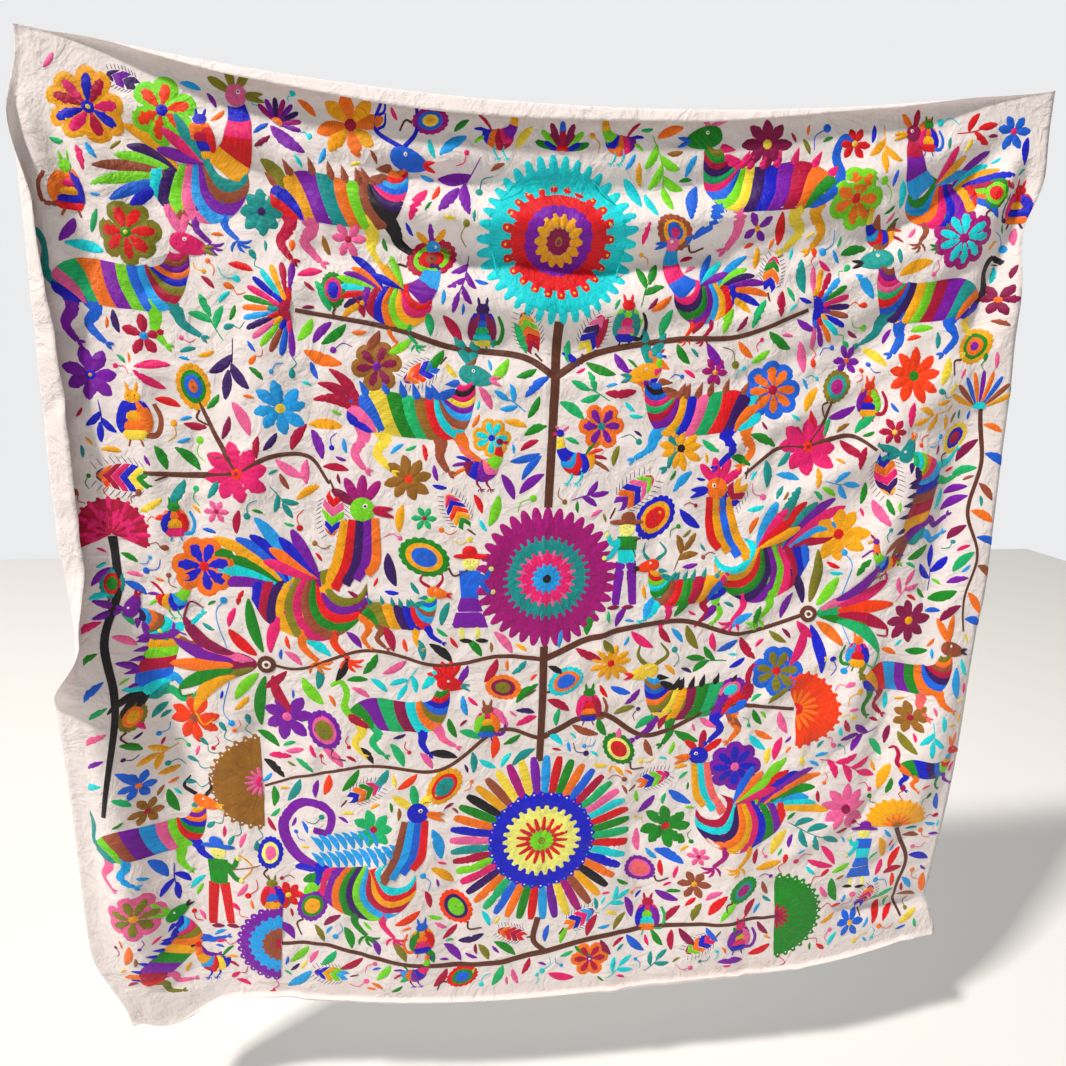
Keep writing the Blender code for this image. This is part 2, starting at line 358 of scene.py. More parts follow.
@dataclass
class Hang:
    """The hanging shape as a function of two parameters."""

    crumple: Crumple = field(default_factory=Crumple)

    def forward(self, across: np.ndarray, down: np.ndarray) -> np.ndarray:
        """How far the cloth stands forward of the plane through its top edge.

        Args:
            across: Places across the hung cloth.
            down: Places down it.

        Returns:
            The sum of folds, creases and bell-shaped billows, faded out towards the taut top edge.
        """
        total = np.zeros_like(across)
        for fold in (*MAIN_FOLDS, *FINE_FOLDS, *PRESSED_CREASES, *self.crumple.folds()):
            total += fold_height(fold, across, down)
        for billow in BILLOWS:
            wide = (across - billow.across) / billow.half_wide
            tall = (down - billow.down) / billow.half_tall
            total += billow.height * np.exp(-wide * wide - tall * tall)
        return total * ramp(down - TOP_SAG * (1.0 - across * across), TOP_FADE)

    @staticmethod
    def turned(beyond: np.ndarray, angle: np.ndarray) -> tuple[np.ndarray, np.ndarray]:
        """Carry a strip round its fold line.

        Args:
            beyond: Distance past the fold line, along the cloth.
            angle: How far the strip is turned, in radians.

        Returns:
            How far the strip then reaches outwards, and how far forwards: r sin a and r (1 - cos a)
            round the bend, and a straight run at the full angle after it.
        """
        bend = np.minimum(beyond, TURN_RADIUS * angle)
        straight = beyond - bend
        outwards = TURN_RADIUS * np.sin(bend / TURN_RADIUS) + straight * np.cos(angle)
        forwards = TURN_RADIUS * (1.0 - np.cos(bend / TURN_RADIUS)) + straight * np.sin(angle)
        return outwards, forwards

    @staticmethod
    def levels(side: np.ndarray) -> tuple[np.ndarray, np.ndarray]:
        """The top fold line and the bottom turn, as distances down: parabolas, and a bell at one corner."""
        bulge = 1.0 - side * side
        droop = CORNER_DROP * np.exp(-(((side - CORNER_PLACE) / CORNER_REACH) ** 2))
        return TOP_SAG * bulge, LENGTH + BOTTOM_SAG * bulge + droop

    def point(self, column: np.ndarray, row: np.ndarray) -> np.ndarray:
        """Where a point of the flat cloth hangs.

        Args:
            column: -1 to 1 between the side fold lines; below -1, metres on the left strip.
            row: 0 to 1 from the top fold line to the bottom turn; past those, metres on a strip.

        Returns:
            Points in space, with the last axis holding x, y and z.
        """
        side = np.clip(column, -1.0, 1.0)
        top, bottom = self.levels(side)
        down = top + (bottom - top) * np.clip(row, 0.0, 1.0)
        left = eased(down, LEFT_EDGE)
        across = left + (eased(down, RIGHT_EDGE) - left) * (side + 1.0) / 2.0
        above = np.maximum(-row, 0.0) * eased(across, TOP_SHARE)
        beside = np.maximum(-1.0 - column, 0.0) * eased(down, SIDE_SHARE)
        below = np.maximum(row - 1.0, 0.0) * eased(across, BOTTOM_SHARE)
        up_reach, up_out = self.turned(above, np.radians(eased(across, TOP_TURN)))
        left_reach, left_out = self.turned(beside, np.radians(eased(down, SIDE_TURN)))
        low_reach, low_out = self.turned(below, np.radians(eased(across, BOTTOM_TURN)))
        across = across - left_reach
        down = down - up_reach + low_reach
        out = self.forward(across, down) + up_out + left_out + low_out
        return np.stack((across, -out, TOP_SAG - down), axis=-1)

    def grid_place(self, across: np.ndarray, down: np.ndarray) -> tuple[np.ndarray, np.ndarray]:
        """Turn a place on the hung cloth back into its column and row.

        Args:
            across: Places across.
            down: Places down.

        Returns:
            Column from -1 to 1 and row from 0 to 1, the inverse of point() between the fold lines.
        """
        left = eased(down, LEFT_EDGE)
        column = 2.0 * (across - left) / (eased(down, RIGHT_EDGE) - left) - 1.0
        column = np.clip(column, -1.0, 1.0)
        top, bottom = self.levels(column)
        return column, np.clip((down - top) / (bottom - top), 0.0, 1.0)


# ---- Meshes ----

def quad_grid(rows: int, columns: int) -> np.ndarray:
    """Corner numbers of the quads of a grid whose points are numbered row by row.

    Args:
        rows: Points along the first axis.
        columns: Points along the second axis.

    Returns:
        One row of four corner numbers a quad.
    """
    number = np.arange(rows * columns).reshape(rows, columns)
    corners = (number[:-1, :-1], number[1:, :-1], number[1:, 1:], number[:-1, 1:])
    return np.stack(corners, axis=-1).reshape(-1, 4)


def make_mesh(name: str, points: np.ndarray, quads: np.ndarray, places: np.ndarray) -> bpy.types.Object:
    """Make a smooth mesh object from arrays.

    Args:
        name: The object's name.
        points: Points in space, one a row.
        quads: Four corner numbers a row.
        places: The UV place of each point.

    Returns:
        The object, linked to the scene.
    """
    mesh = bpy.data.meshes.new(name)
    mesh.vertices.add(len(points))
    mesh.vertices.foreach_set("co", points.astype(np.float32).ravel())
    mesh.loops.add(quads.size)
    mesh.loops.foreach_set("vertex_index", quads.astype(np.int32).ravel())
    mesh.polygons.add(len(quads))
    mesh.polygons.foreach_set("loop_start", np.arange(0, quads.size, 4, dtype=np.int32))
    uv_map = mesh.uv_layers.new(name="UVMap")
    uv_map.uv.foreach_set("vector", places[quads.ravel()].astype(np.float32).ravel())
    mesh.update(calc_edges=True)
    mesh.validate()
    mesh.shade_smooth()
    piece = bpy.data.objects.new(name, mesh)
    bpy.context.scene.collection.objects.link(piece)
    return piece


def curve_through(points: Sequence[tuple[float, float]], count: int) -> np.ndarray:
    """Points along a smooth curve through a few points.

    Args:
        points: The points that it passes.
        count: How many points to return.

    Returns:
        Catmull-Rom spans: on each, half of (2B + (C - A) q + (2A - 5B + 4C - D) q^2 +
        (3B - A - 3C + D) q^3), with the end points mirrored past the ends.
    """
    knots = np.array(points, dtype=float)
    knots = np.vstack((2.0 * knots[0] - knots[1], knots, 2.0 * knots[-1] - knots[-2]))
    spans = len(knots) - 3
    place = np.linspace(0.0, spans, count)
    span = np.minimum(place.astype(int), spans - 1)
    q = (place - span)[:, None]
    a, b, c, d = (knots[span + step] for step in range(4))
    return 0.5 * (
        2.0 * b + (c - a) * q + (2.0 * a - 5.0 * b + 4.0 * c - d) * q ** 2 + (
            3.0 * b - a - 3.0 * c + d
        ) * q ** 3
    )


def travelled(line: np.ndarray) -> np.ndarray:
    """How far each point of a line lies along it, starting from 0."""
    return np.concatenate(((0.0,), np.hypot(*np.diff(line, axis=0).T).cumsum()))


def sampled(at: np.ndarray | float, along: np.ndarray, line: np.ndarray) -> np.ndarray:
    """Read a line of points at some distances along it, between its own points."""
    return np.stack([np.interp(at, along, line[:, axis]) for axis in (0, 1)], axis=-1)


def sideways(line: np.ndarray) -> np.ndarray:
    """Unit vectors at right angles to a line: its slope turned a quarter round."""
    slope = np.gradient(line, axis=0)
    slope /= np.maximum(np.linalg.norm(slope, axis=1, keepdims=True), 1e-9)
    return np.stack((-slope[:, 1], slope[:, 0]), axis=1)


# ---- The sheet ----

@dataclass
class ClothSheet:
    """The cotton sheet, hems included, hung from its two top corners."""

    thickness: float = 0.001
    main_columns: int = 196
    main_rows: int = 190
    bend_steps: int = 7
    flat_steps: int = 4
    hang: Hang = field(default_factory=Hang)
    grid: np.ndarray = field(init=False)
    fronts: np.ndarray = field(init=False)
    first_column: int = field(init=False)
    first_row: int = field(init=False)

    def __post_init__(self) -> None:
        """Hang the grid and find which way its front faces at each point."""
        before = self.strip_lines(SIDE_STRIP)[::-1]
        above = self.strip_lines(TOP_FLAP)[::-1]
        self.first_column, self.first_row = len(before), len(above)
        columns = np.concatenate((-1.0 - before, np.linspace(-1.0, 1.0, self.main_columns + 1)))
        rows = np.concatenate(
            (-above, np.linspace(0.0, 1.0, self.main_rows + 1), 1.0 + self.strip_lines(BOTTOM_STRIP))
        )
        column, row = np.meshgrid(columns, rows)
        self.grid = self.hang.point(column, row)
        downwards = np.gradient(self.grid, axis=0)
        rightwards = np.gradient(self.grid, axis=1)
        fronts = np.cross(downwards, rightwards)
        self.fronts = fronts / np.linalg.norm(fronts, axis=2, keepdims=True)

    def strip_lines(self, width: float) -> np.ndarray:
        """Grid lines on a turned strip: close together round the bend, then wider."""
        bend = TURN_RADIUS * radians(STEEPEST_TURN)
        near = np.linspace(0.0, bend, self.bend_steps + 1)[1:]
        return np.concatenate((near, np.linspace(bend, width, self.flat_steps + 1)[1:]))

    def carry(self, places: np.ndarray, lift: np.ndarray) -> np.ndarray:
        """Carry points from the flat drawing onto the hanging sheet.

        Args:
            places: Across and down, on the last axis.
            lift: Height of each point above the middle of the sheet, below 0 on its back.

        Returns:
            The sheet's own grid read between its four nearest points, plus the lift along its front.
        """
        column, row = self.hang.grid_place(places[:, 0], places[:, 1])
        fore = (column + 1.0) / 2.0 * self.main_columns + self.first_column
        low = row * self.main_rows + self.first_row
        i = np.clip(low.astype(int), self.first_row, self.first_row + self.main_rows - 1)
        j = np.clip(fore.astype(int), self.first_column, self.first_column + self.main_columns - 1)
        v, h = (low - i)[:, None], (fore - j)[:, None]
        both = np.concatenate((self.grid, self.fronts), axis=2)
        read = (
            both[i, j] * (1 - v) * (1 - h) + both[i + 1, j] * v * (1 - h)
            + both[i, j + 1] * (1 - v) * h + both[i + 1, j + 1] * v * h
        )
        return read[:, :3] + read[:, 3:] * lift[:, None]

    def build(self) -> bpy.types.Object:
        """Make the sheet's mesh, with its flat place as its UV map and Solidify for its thickness.

        Returns:
            The sheet.
        """
        rows, columns = self.grid.shape[:2]
        flat = np.stack(np.meshgrid(np.linspace(0, 1, columns), np.linspace(1, 0, rows)), axis=-1)
        sheet = make_mesh(
            "cloth_sheet", self.grid.reshape(-1, 3), quad_grid(rows, columns), flat.reshape(-1, 2),
        )
        thicken = sheet.modifiers.new("thickness", "SOLIDIFY")
        thicken.thickness = self.thickness
        thicken.offset = 0.0
        return sheet


# ---- Stitched patches ----

Spot = tuple[float, float]

SINK = 0.42 * MM       # the rim of a patch starts this far above the middle of the sheet, inside it
LAYER = 0.55 * MM      # thread laid over other thread stands this much higher
DOME = 1.5 * MM        # crown of a wide satin-stitch patch
DOME_SHARE = 0.42      # crown of a narrow one, as a share of its half width
CELL = 0.008           # length of a patch's cells
BLUNT = 0.1            # half width of a patch's tips, as a share of its widest
NARROW = 0.016         # a blade with a smaller half width has fewer cells across
ROUND_HEART = 0.15     # a ring with a smaller hole, as a share of its radius, is domed as a disc


class Patch(NamedTuple):
    """One stitched patch: a grid of places, with lift, thread places and colour."""

    places: np.ndarray
    lift: np.ndarray
    threads: np.ndarray
    colour: np.ndarray
    layer: int


@dataclass
class StitchWork:
    """The stitched patches of one family of figures, which become one joined mesh."""

    name: str
    seed: int
    patches: list[Patch] = field(default_factory=list)

    def __post_init__(self) -> None:
        """Start this family's own run of chance, for small differences of dye and hand."""
        self.draw = np.random.default_rng(self.seed)

    def add(
        self, places: np.ndarray, crown: np.ndarray, threads: np.ndarray, letter: str, layer: int,
    ) -> None:
        """Keep one patch.

        Args:
            places: Grid of across and down.
            crown: Height of each point of the grid over the patch's rim.
            threads: Grid of places measured across and along the threads, in metres.
            letter: The thread's letter in the chart.
            layer: 0 on the cloth, 1 on thread, and so on.
        """
        first = places[1:, :-1] - places[:-1, :-1]
        second = places[:-1, 1:] - places[:-1, :-1]
        if (first[..., 0] * second[..., 1] - first[..., 1] * second[..., 0]).sum() > 0.0:
            places, crown, threads = places[:, ::-1], crown[:, ::-1], threads[:, ::-1]
        shade = self.draw.normal(1.0, 0.045)
        tint = self.draw.normal(1.0, 0.02, 3)
        colour = np.clip(np.array(CHART[letter]) * shade * tint, 0.0, 1.0)
        start = self.draw.uniform(0.0, 1.0, 2)
        lift = SINK + crown + layer * LAYER * np.ones_like(crown)
        self.patches.append(Patch(places, lift, threads + start, colour, layer))

    def blade(
        self, root: Spot, tip: Spot, half_width: float, letter: str, *, bow: float = 0.0, layer: int = 0,
        fullness: float = 0.75, peak: float = 0.5, blunt: float = BLUNT, slant: float = 0.4,
    ) -> None:
        """A leaf, petal or feather.

        The width is half_width * sin(pi t^p)^fullness along a centre line that bows by
        4 t (1 - t) of its bow, and the crown is a half circle across it.

        Args:
            root: Where it starts.
            tip: Where it ends.
            half_width: Half its widest.
            letter: Its thread.
            bow: How far the centre line bows aside, in metres.
            layer: What it lies on.
            fullness: Below 1 is fuller and above 1 is more pointed.
            peak: Where along it is widest.
            blunt: Half width of its tips, as a share of half_width.
            slant: How far the stitches lean.
        """
        start, end = np.array(root, dtype=float), np.array(tip, dtype=float)
        length = float(np.hypot(*(end - start)))
        if length < 1e-6:
            return
        steps = int(np.clip(length / CELL, 5, 14))
        t = (1.0 - np.cos(np.linspace(0.0, pi, steps + 1))) / 2.0
        aside = np.array((-(end - start)[1], (end - start)[0])) / length
        line = start + (end - start) * t[:, None] + aside * (bow * 4.0 * t * (1.0 - t))[:, None]
        power = np.log(0.5) / np.log(peak)
        profile = np.sin(pi * np.clip(t, 1e-6, 1.0) ** power).clip(0.0, 1.0) ** fullness
        width = half_width * (blunt + (1.0 - blunt) * profile)
        parts = 4 if half_width < NARROW else 6
        s = np.linspace(-1.0, 1.0, parts + 1)
        places = line[:, None, :] + sideways(line)[:, None, :] * (width[:, None] * s)[..., None]
        crown = min(DOME, DOME_SHARE * half_width) * np.sqrt(1.0 - s ** 2)[None, :]
        crown = crown * np.sqrt(np.clip(1.0 - (2.0 * t - 1.0) ** 6, 0.0, 1.0))[:, None]
        along = (length * t)[:, None] + slant * np.abs(width[:, None] * s)
        threads = np.stack((along, np.broadcast_to(width[:, None] * s, along.shape)), axis=-1)
        self.add(places, crown, threads, letter, layer)

    def ring(
        self, centre: Spot, inner: float, outer: float, letter: str, *, layer: int = 0, scallops: int = 0,
        depth: float = 0.0, begin: float = 0.0, sweep: float = 2.0 * pi, squash: float = 1.0,
        turn: float = 0.0,
    ) -> None:
        """A ring, disc or sector, with a scalloped rim where it has one.

        The outer radius is outer * (1 - depth * (1 - |sin(n a / 2)|)).

        Args:
            centre: Its middle.
            inner: Inner radius; a small one makes a disc.
            outer: Outer radius.
            letter: Its thread.
            layer: What it lies on.
            scallops: How many scallops go round.
            depth: How deep they cut, as a share of the outer radius.
            begin: Angle where the sector starts.
            sweep: Angle that it spans.
            squash: Height as a share of the width.
            turn: Angle by which the squashed shape is turned.
        """
        share = sweep / (2.0 * pi)
        steps = int(max(10, outer * sweep / CELL, scallops * 6 * share))
        parts = int(np.clip((outer - inner) / CELL, 2, 8))
        angle = begin + np.linspace(0.0, sweep, steps + 1)
        q = (1.0 - np.cos(np.linspace(0.0, pi, parts + 1))) / 2.0
        rim = outer * (1.0 - depth * (1.0 - np.abs(np.sin(scallops * angle / 2.0)))) if scallops else outer
        radius = inner + (rim - inner) * q[:, None] * np.ones(steps + 1)
        flat = np.stack((radius * np.cos(angle), squash * radius * np.sin(angle)), axis=-1)
        spin = np.array(((cos(turn), sin(turn)), (-sin(turn), cos(turn))))
        places = np.array(centre) + flat @ spin
        wall = np.sqrt(np.clip(1.0 - (2.0 * q - 1.0) ** 4, 0.0, 1.0))
        if inner < ROUND_HEART * outer:
            wall = np.sqrt(np.clip(1.0 - q ** 4, 0.0, 1.0))
        crown = min(DOME, DOME_SHARE * (outer - inner)) * wall[:, None] * np.ones(steps + 1)
        threads = np.stack((np.broadcast_to(angle * (inner + outer) / 2.0, radius.shape), radius), axis=-1)
        self.add(places, crown, threads, letter, layer)

    def dot(self, centre: Spot, radius: float, letter: str, layer: int = 0) -> None:
        """A small round knot of thread."""
        self.ring(centre, 0.06 * radius, radius, letter, layer=layer)

    def stem(
        self, points: Sequence[Spot], width: float, letter: str, *, layer: int = 0, taper: float = 1.0,
    ) -> np.ndarray:
        """A stem or other narrow line of stitches, carried along a smooth path.

        Args:
            points: The points that it passes.
            width: Its width where it starts.
            letter: Its thread.
            layer: What it lies on.
            taper: Its end width as a share of its first.

        Returns:
            The points of its centre line.
        """
        rough = float(np.hypot(*np.diff(np.array(points), axis=0).T).sum())
        line = curve_through(points, int(np.clip(rough / (0.8 * CELL), 4, 400)) + 1)
        t = np.linspace(0.0, 1.0, len(line))
        half = 0.5 * width * (1.0 + (taper - 1.0) * t)
        s = np.array((-1.0, 0.0, 1.0))
        places = line[:, None, :] + sideways(line)[:, None, :] * (half[:, None] * s)[..., None]
        crown = np.minimum(DOME, 1.1 * half)[:, None] * (1.0 - s ** 2)
        crown[0] *= 0.2
        crown[-1] *= 0.2
        along = travelled(line)
        threads = np.stack(
            (along[:, None] + 0.8 * half[:, None] * s, np.broadcast_to(half[:, None] * s, crown.shape)),
            axis=-1,
        )
        self.add(places, crown, threads, letter, layer)
        return line

    def stripes(
        self, line: np.ndarray, half: np.ndarray, letters: str, *, lean: float = 0.0, arch: float = 0.0,
        point: float = 0.0, layer: int = 0, grow: float = 1.0,
    ) -> None:
        """A body worked in stripes, each of one thread, across a curved centre line.

        A stripe runs from one flank to the other at one part of the line. Its middle is moved along the
        line by arch * t * (1 - s^2) and by point * (1 - |s|), and its flanks by lean * s.

        Args:
            line: Points of the centre line.
            half: Half width of the body at each of those points.
            letters: One thread a stripe.
            lean: How far the stripes lean, as a share of the line.
            arch: How far their middles bow at the line's end, as a share of the line.
            point: How far they come to a point, as in a chevron.
            layer: What they lie on.
            grow: Ratio of each stripe's breadth to the one before it.
        """
        breadths = grow ** np.arange(len(letters))
        cuts = np.concatenate(((0.0,), breadths.cumsum() / breadths.sum()))
        total = float(np.hypot(*np.diff(line, axis=0).T).sum())
        outwards = sideways(line)
        index = np.linspace(0.0, 1.0, len(line))
        parts = 2 * int(np.clip(half.max() / CELL, 2, 6))
        s = np.linspace(-1.0, 1.0, parts + 1)
        q = np.linspace(0.0, 1.0, 5)
        for first, second, letter in zip(cuts, cuts[1:], letters):
            t = first + (second - first) * q[:, None] + lean * s
            t = t + arch * first * (1.0 - s ** 2) + point * (1.0 - np.abs(s))
            t = np.clip(t, 0.0, 1.0)
            width = np.interp(t, index, half)
            places = sampled(t, index, line) + sampled(t, index, outwards) * (width * s)[..., None]
            crown = min(DOME, DOME_SHARE * total * (second - first) * 0.5)
            crown = crown * np.sqrt(1.0 - (2.0 * q - 1.0) ** 4)[:, None] * (1.0 - s ** 6)
            threads = np.stack((width * s, t * total), axis=-1)
            self.add(places, crown, threads, letter, layer)

    def build(self, sheet: ClothSheet) -> bpy.types.Object:
        """Carry the patches onto the sheet and join them.

        Args:
            sheet: The sheet that they are stitched to.

        Returns:
            One object, with the thread's colour as an attribute and the threads' places as its UV map.
        """
        sizes = [patch.lift.size for patch in self.patches]
        starts = np.concatenate(((0,), np.cumsum(sizes)[:-1]))
        quads = [quad_grid(*patch.lift.shape) + start for patch, start in zip(self.patches, starts)]
        places = np.concatenate([patch.places.reshape(-1, 2) for patch in self.patches])
        lift = np.concatenate([patch.lift.ravel() for patch in self.patches])
        threads = np.concatenate([patch.threads.reshape(-1, 2) for patch in self.patches])
        colours = np.repeat([patch.colour for patch in self.patches], sizes, axis=0)
        return coloured(
            make_mesh(self.name, sheet.carry(places, lift), np.concatenate(quads), threads), colours,
        )


def coloured(piece: bpy.types.Object, colours: np.ndarray) -> bpy.types.Object:
    """Keep a colour for each point of a piece.

    Args:
        piece: The mesh object.
        colours: Linear red, green and blue, one row a point.

    Returns:
        The same object.
    """
    attribute = piece.data.color_attributes.new("thread_colour", "FLOAT_COLOR", "POINT")
    rgba = np.column_stack((colours, np.ones(len(colours))))
    attribute.data.foreach_set("color", rgba.astype(np.float32).ravel())
    return piece


# ---- Motifs ----

@dataclass(frozen=True)
class Setting:
    """Where a figure is drawn: its own x runs forwards and y upwards, in shares of its size."""

    across: float
    down: float
    size: float
    facing: int = 1
    turn: float = 0.0

    def at(self, x: float, y: float) -> Spot:
        """The place on the cloth of a point of the figure."""
        c, s = cos(radians(self.turn)), sin(radians(self.turn))
        forwards = self.facing * x
        return (
            self.across + self.size * (forwards * c - y * s), self.down - self.size * (forwards * s + y * c),
        )

    def path(self, points: Sequence[Spot]) -> list[Spot]:
        """The places on the cloth of several points of the figure."""
        return [self.at(x, y) for x, y in points]

    def toward(self, x: float, y: float, angle: float, length: float) -> Spot:
        """The place that lies a length away from a point of the figure, at an angle in degrees."""
        return self.at(x + length * cos(radians(angle)), y + length * sin(radians(angle)))

    def ray(self, angle: float, length: float) -> Spot:
        """The place that lies a length away from the figure's middle, at an angle in degrees."""
        return self.toward(0.0, 0.0, angle, length)


@dataclass(frozen=True)
class Flower:
    """A flower of separate petals round a knot, or of joined ones inside a rim of another colour."""

    across: float
    down: float
    radius: float
    petals: int
    petal: str
    heart: str
    outline: str = ""
    turn: float = 0.0
    slim: float = 0.64

    def work(self, stitches: StitchWork) -> None:
        """Stitch the rim where there is one, then the petals, and then the heart."""
        place = Setting(self.across, self.down, self.radius, turn=self.turn)
        half = min(self.radius * sin(pi / self.petals), 0.42 * self.radius)
        for number in range(self.petals):
            angle = 360.0 * number / self.petals + 5.0 * sin(3.0 * number + 9.0 * self.across)
            letter = self.petal[number % len(self.petal)]
            if self.outline:
                stitches.blade(
                    place.ray(angle, 0.05), place.ray(angle, 1.08), half, self.outline, fullness=0.5,
                    peak=0.64,
                )
                stitches.blade(
                    place.ray(angle, 0.12), place.ray(angle, 0.9), half * 0.62, letter, layer=1, fullness=0.6,
                    peak=0.62,
                )
            else:
                reach = 1.0 + 0.08 * sin(5.0 * number + 7.0 * self.down)
                stitches.blade(
                    place.ray(angle, 0.06), place.ray(angle, reach), half * self.slim, letter, fullness=0.8,
                    peak=0.58, bow=0.03 * self.radius,
                )
        for number, letter in enumerate(self.heart):
            stitches.dot((self.across, self.down), self.radius * (0.19 - 0.09 * number), letter, 2 + number)


@dataclass(frozen=True)
class Petals:
    """One round of a medallion: petals on a ring."""

    inner: float
    outer: float
    count: int
    letters: str
    broad: float = 0.95
    fullness: float = 0.5
    peak: float = 0.62
    layer: int = 0
    turn: float = 0.0
    dots: str = ""
    blunt: float = 0.18


@dataclass(frozen=True)
class Band:
    """One plain round of a medallion."""

    inner: float
    outer: float
    letter: str
    scallops: int = 0
    depth: float = 0.0
    layer: int = 0
    dots: str = ""


@dataclass(frozen=True)
class Medallion:
    """A large round flower, worked in rounds from the rim inwards."""

    across: float
    down: float
    radius: float
    rounds: tuple[Petals | Band, ...]

    def work(self, stitches: StitchWork) -> None:
        """Stitch every round, each over the one before it."""
        for row in self.rounds:
            if isinstance(row, Band):
                stitches.ring(
                    (self.across, self.down), row.inner * self.radius, row.outer * self.radius, row.letter,
                    layer=row.layer, scallops=row.scallops, depth=row.depth,
                )
                place = Setting(self.across, self.down, self.radius)
                for number in range(row.scallops if row.dots else 0):
                    angle = 360.0 * (number + 0.5) / row.scallops
                    stitches.dot(
                        place.ray(angle, 0.93 * row.outer), 0.014 * self.radius,
                        row.dots[number % len(row.dots)], row.layer + 1,
                    )
            else:
                self.petal_round(stitches, row)

    def petal_round(self, stitches: StitchWork, row: Petals) -> None:
        """Stitch one round of petals.

        Args:
            stitches: Where the patches go.
            row: The round.
        """
        place = Setting(self.across, self.down, self.radius)
        wide = pi * (row.inner + 0.6 * (row.outer - row.inner)) / row.count
        for number in range(row.count):
            angle = row.turn + 360.0 * number / row.count
            letter = row.letters[number % len(row.letters)]
            reach = row.outer * (1.0 + 0.015 * sin(7.0 * number))
            stitches.blade(
                place.ray(angle, row.inner), place.ray(angle, reach), wide * row.broad * self.radius, letter,
                layer=row.layer, fullness=row.fullness, peak=row.peak, blunt=row.blunt, slant=0.1,
            )
            if row.dots:
                spot = place.ray(angle, row.inner + 0.72 * (row.outer - row.inner))
                stitches.dot(spot, 0.022 * self.radius, row.dots, row.layer + 1)


SUN_RAYS = "jgrtpjcuqgrsvfafbwkgqnpeclhdqjuqgrsvfabwkqntr"

MEDALLIONS = (
    Medallion(
        -0.03, 0.325, 0.16,
        (
            Petals(0.5, 1.0, 38, "t", 1.0, 0.5, 0.6), Band(0.4, 0.87, "t"),
            Petals(0.5, 0.72, 24, "r", 1.0, 0.5, 0.62, 1, 4.0, "f"), Band(0.3, 0.62, "r", 0, 0.0, 1),
            Band(0.24, 0.45, "v", 20, 0.06, 2), Petals(0.13, 0.315, 14, "w", 0.98, 0.5, 0.62, 3),
            Band(0.01, 0.155, "m", 12, 0.1, 4), Band(0.01, 0.065, "y", 0, 0.0, 5),
        ),
    ),
    Medallion(
        -0.04, 1.015, 0.156,
        (
            Petals(0.6, 1.0, 36, "a", 1.06, 0.6, 0.5), Band(0.36, 0.86, "a"),
            Petals(0.36, 0.63, 34, "e", 0.86, 0.5, 0.5, 1), Band(0.3, 0.56, "e", 0, 0.0, 1),
            Petals(0.2, 0.43, 24, "hp", 0.9, 0.5, 0.5, 2), Band(0.16, 0.37, "h", 0, 0.0, 2),
            Petals(0.06, 0.23, 14, "s", 1.0, 0.5, 0.5, 3), Band(0.01, 0.18, "s", 0, 0.0, 3),
            Band(0.01, 0.085, "k", 0, 0.0, 4),
        ),
    ),
    Medallion(
        -0.035, 1.655, 0.215,
        (
            Petals(0.5, 1.0, 45, SUN_RAYS, 0.94, 0.36, 0.58, blunt=0.3),
            Band(0.34, 0.6, "n", 38, 0.06, 1, "0p0s"), Petals(0.26, 0.44, 26, "i", 1.0, 0.5, 0.66, 2),
            Band(0.16, 0.385, "i", 0, 0.0, 2), Petals(0.1, 0.3, 17, "r", 0.84, 0.5, 0.62, 3),
            Band(0.01, 0.14, "l", 13, 0.1, 4), Band(0.01, 0.055, "y", 0, 0.0, 5),
        ),
    ),
)


@dataclass(frozen=True)
class Branch:
    """A stem with leaves, set in turn on its two sides."""

    points: tuple[Spot, ...]
    width: float = 0.009
    letter: str = "x"
    leaves: str = ""
    leaf: float = 0.066
    gap: float = 0.066
    taper: float = 0.55

    def work(self, stems: StitchWork, leaves: StitchWork) -> None:
        """Stitch the stem, and then the leaves along it.

        Args:
            stems: Where the stem goes.
            leaves: Where its leaves go.
        """
        line = stems.stem(self.points, self.width, self.letter, layer=1, taper=self.taper)
        if not self.leaves:
            return
        along = travelled(line)
        outwards = sideways(line)
        slope = np.stack((outwards[:, 1], -outwards[:, 0]), axis=1)
        for number, place in enumerate(np.arange(0.6 * self.gap, along[-1] - 0.3 * self.gap, 0.5 * self.gap)):
            side = 1.0 if number % 2 else -1.0
            out = sampled(place, along, outwards) * side
            length = self.leaf * (0.8 + 0.3 * abs(sin(2.3 * number)))
            root = sampled(place, along, line) + out * 0.6 * self.width
            lean = 0.75 + 0.25 * sin(1.7 * number)
            tip = root + length * (0.72 * out + 0.66 * lean * sampled(place, along, slope))
            leaves.blade(
                tuple(root), tuple(tip), 0.155 * length, self.leaves[number % len(self.leaves)],
                bow=0.06 * length * side, fullness=0.85,
            )


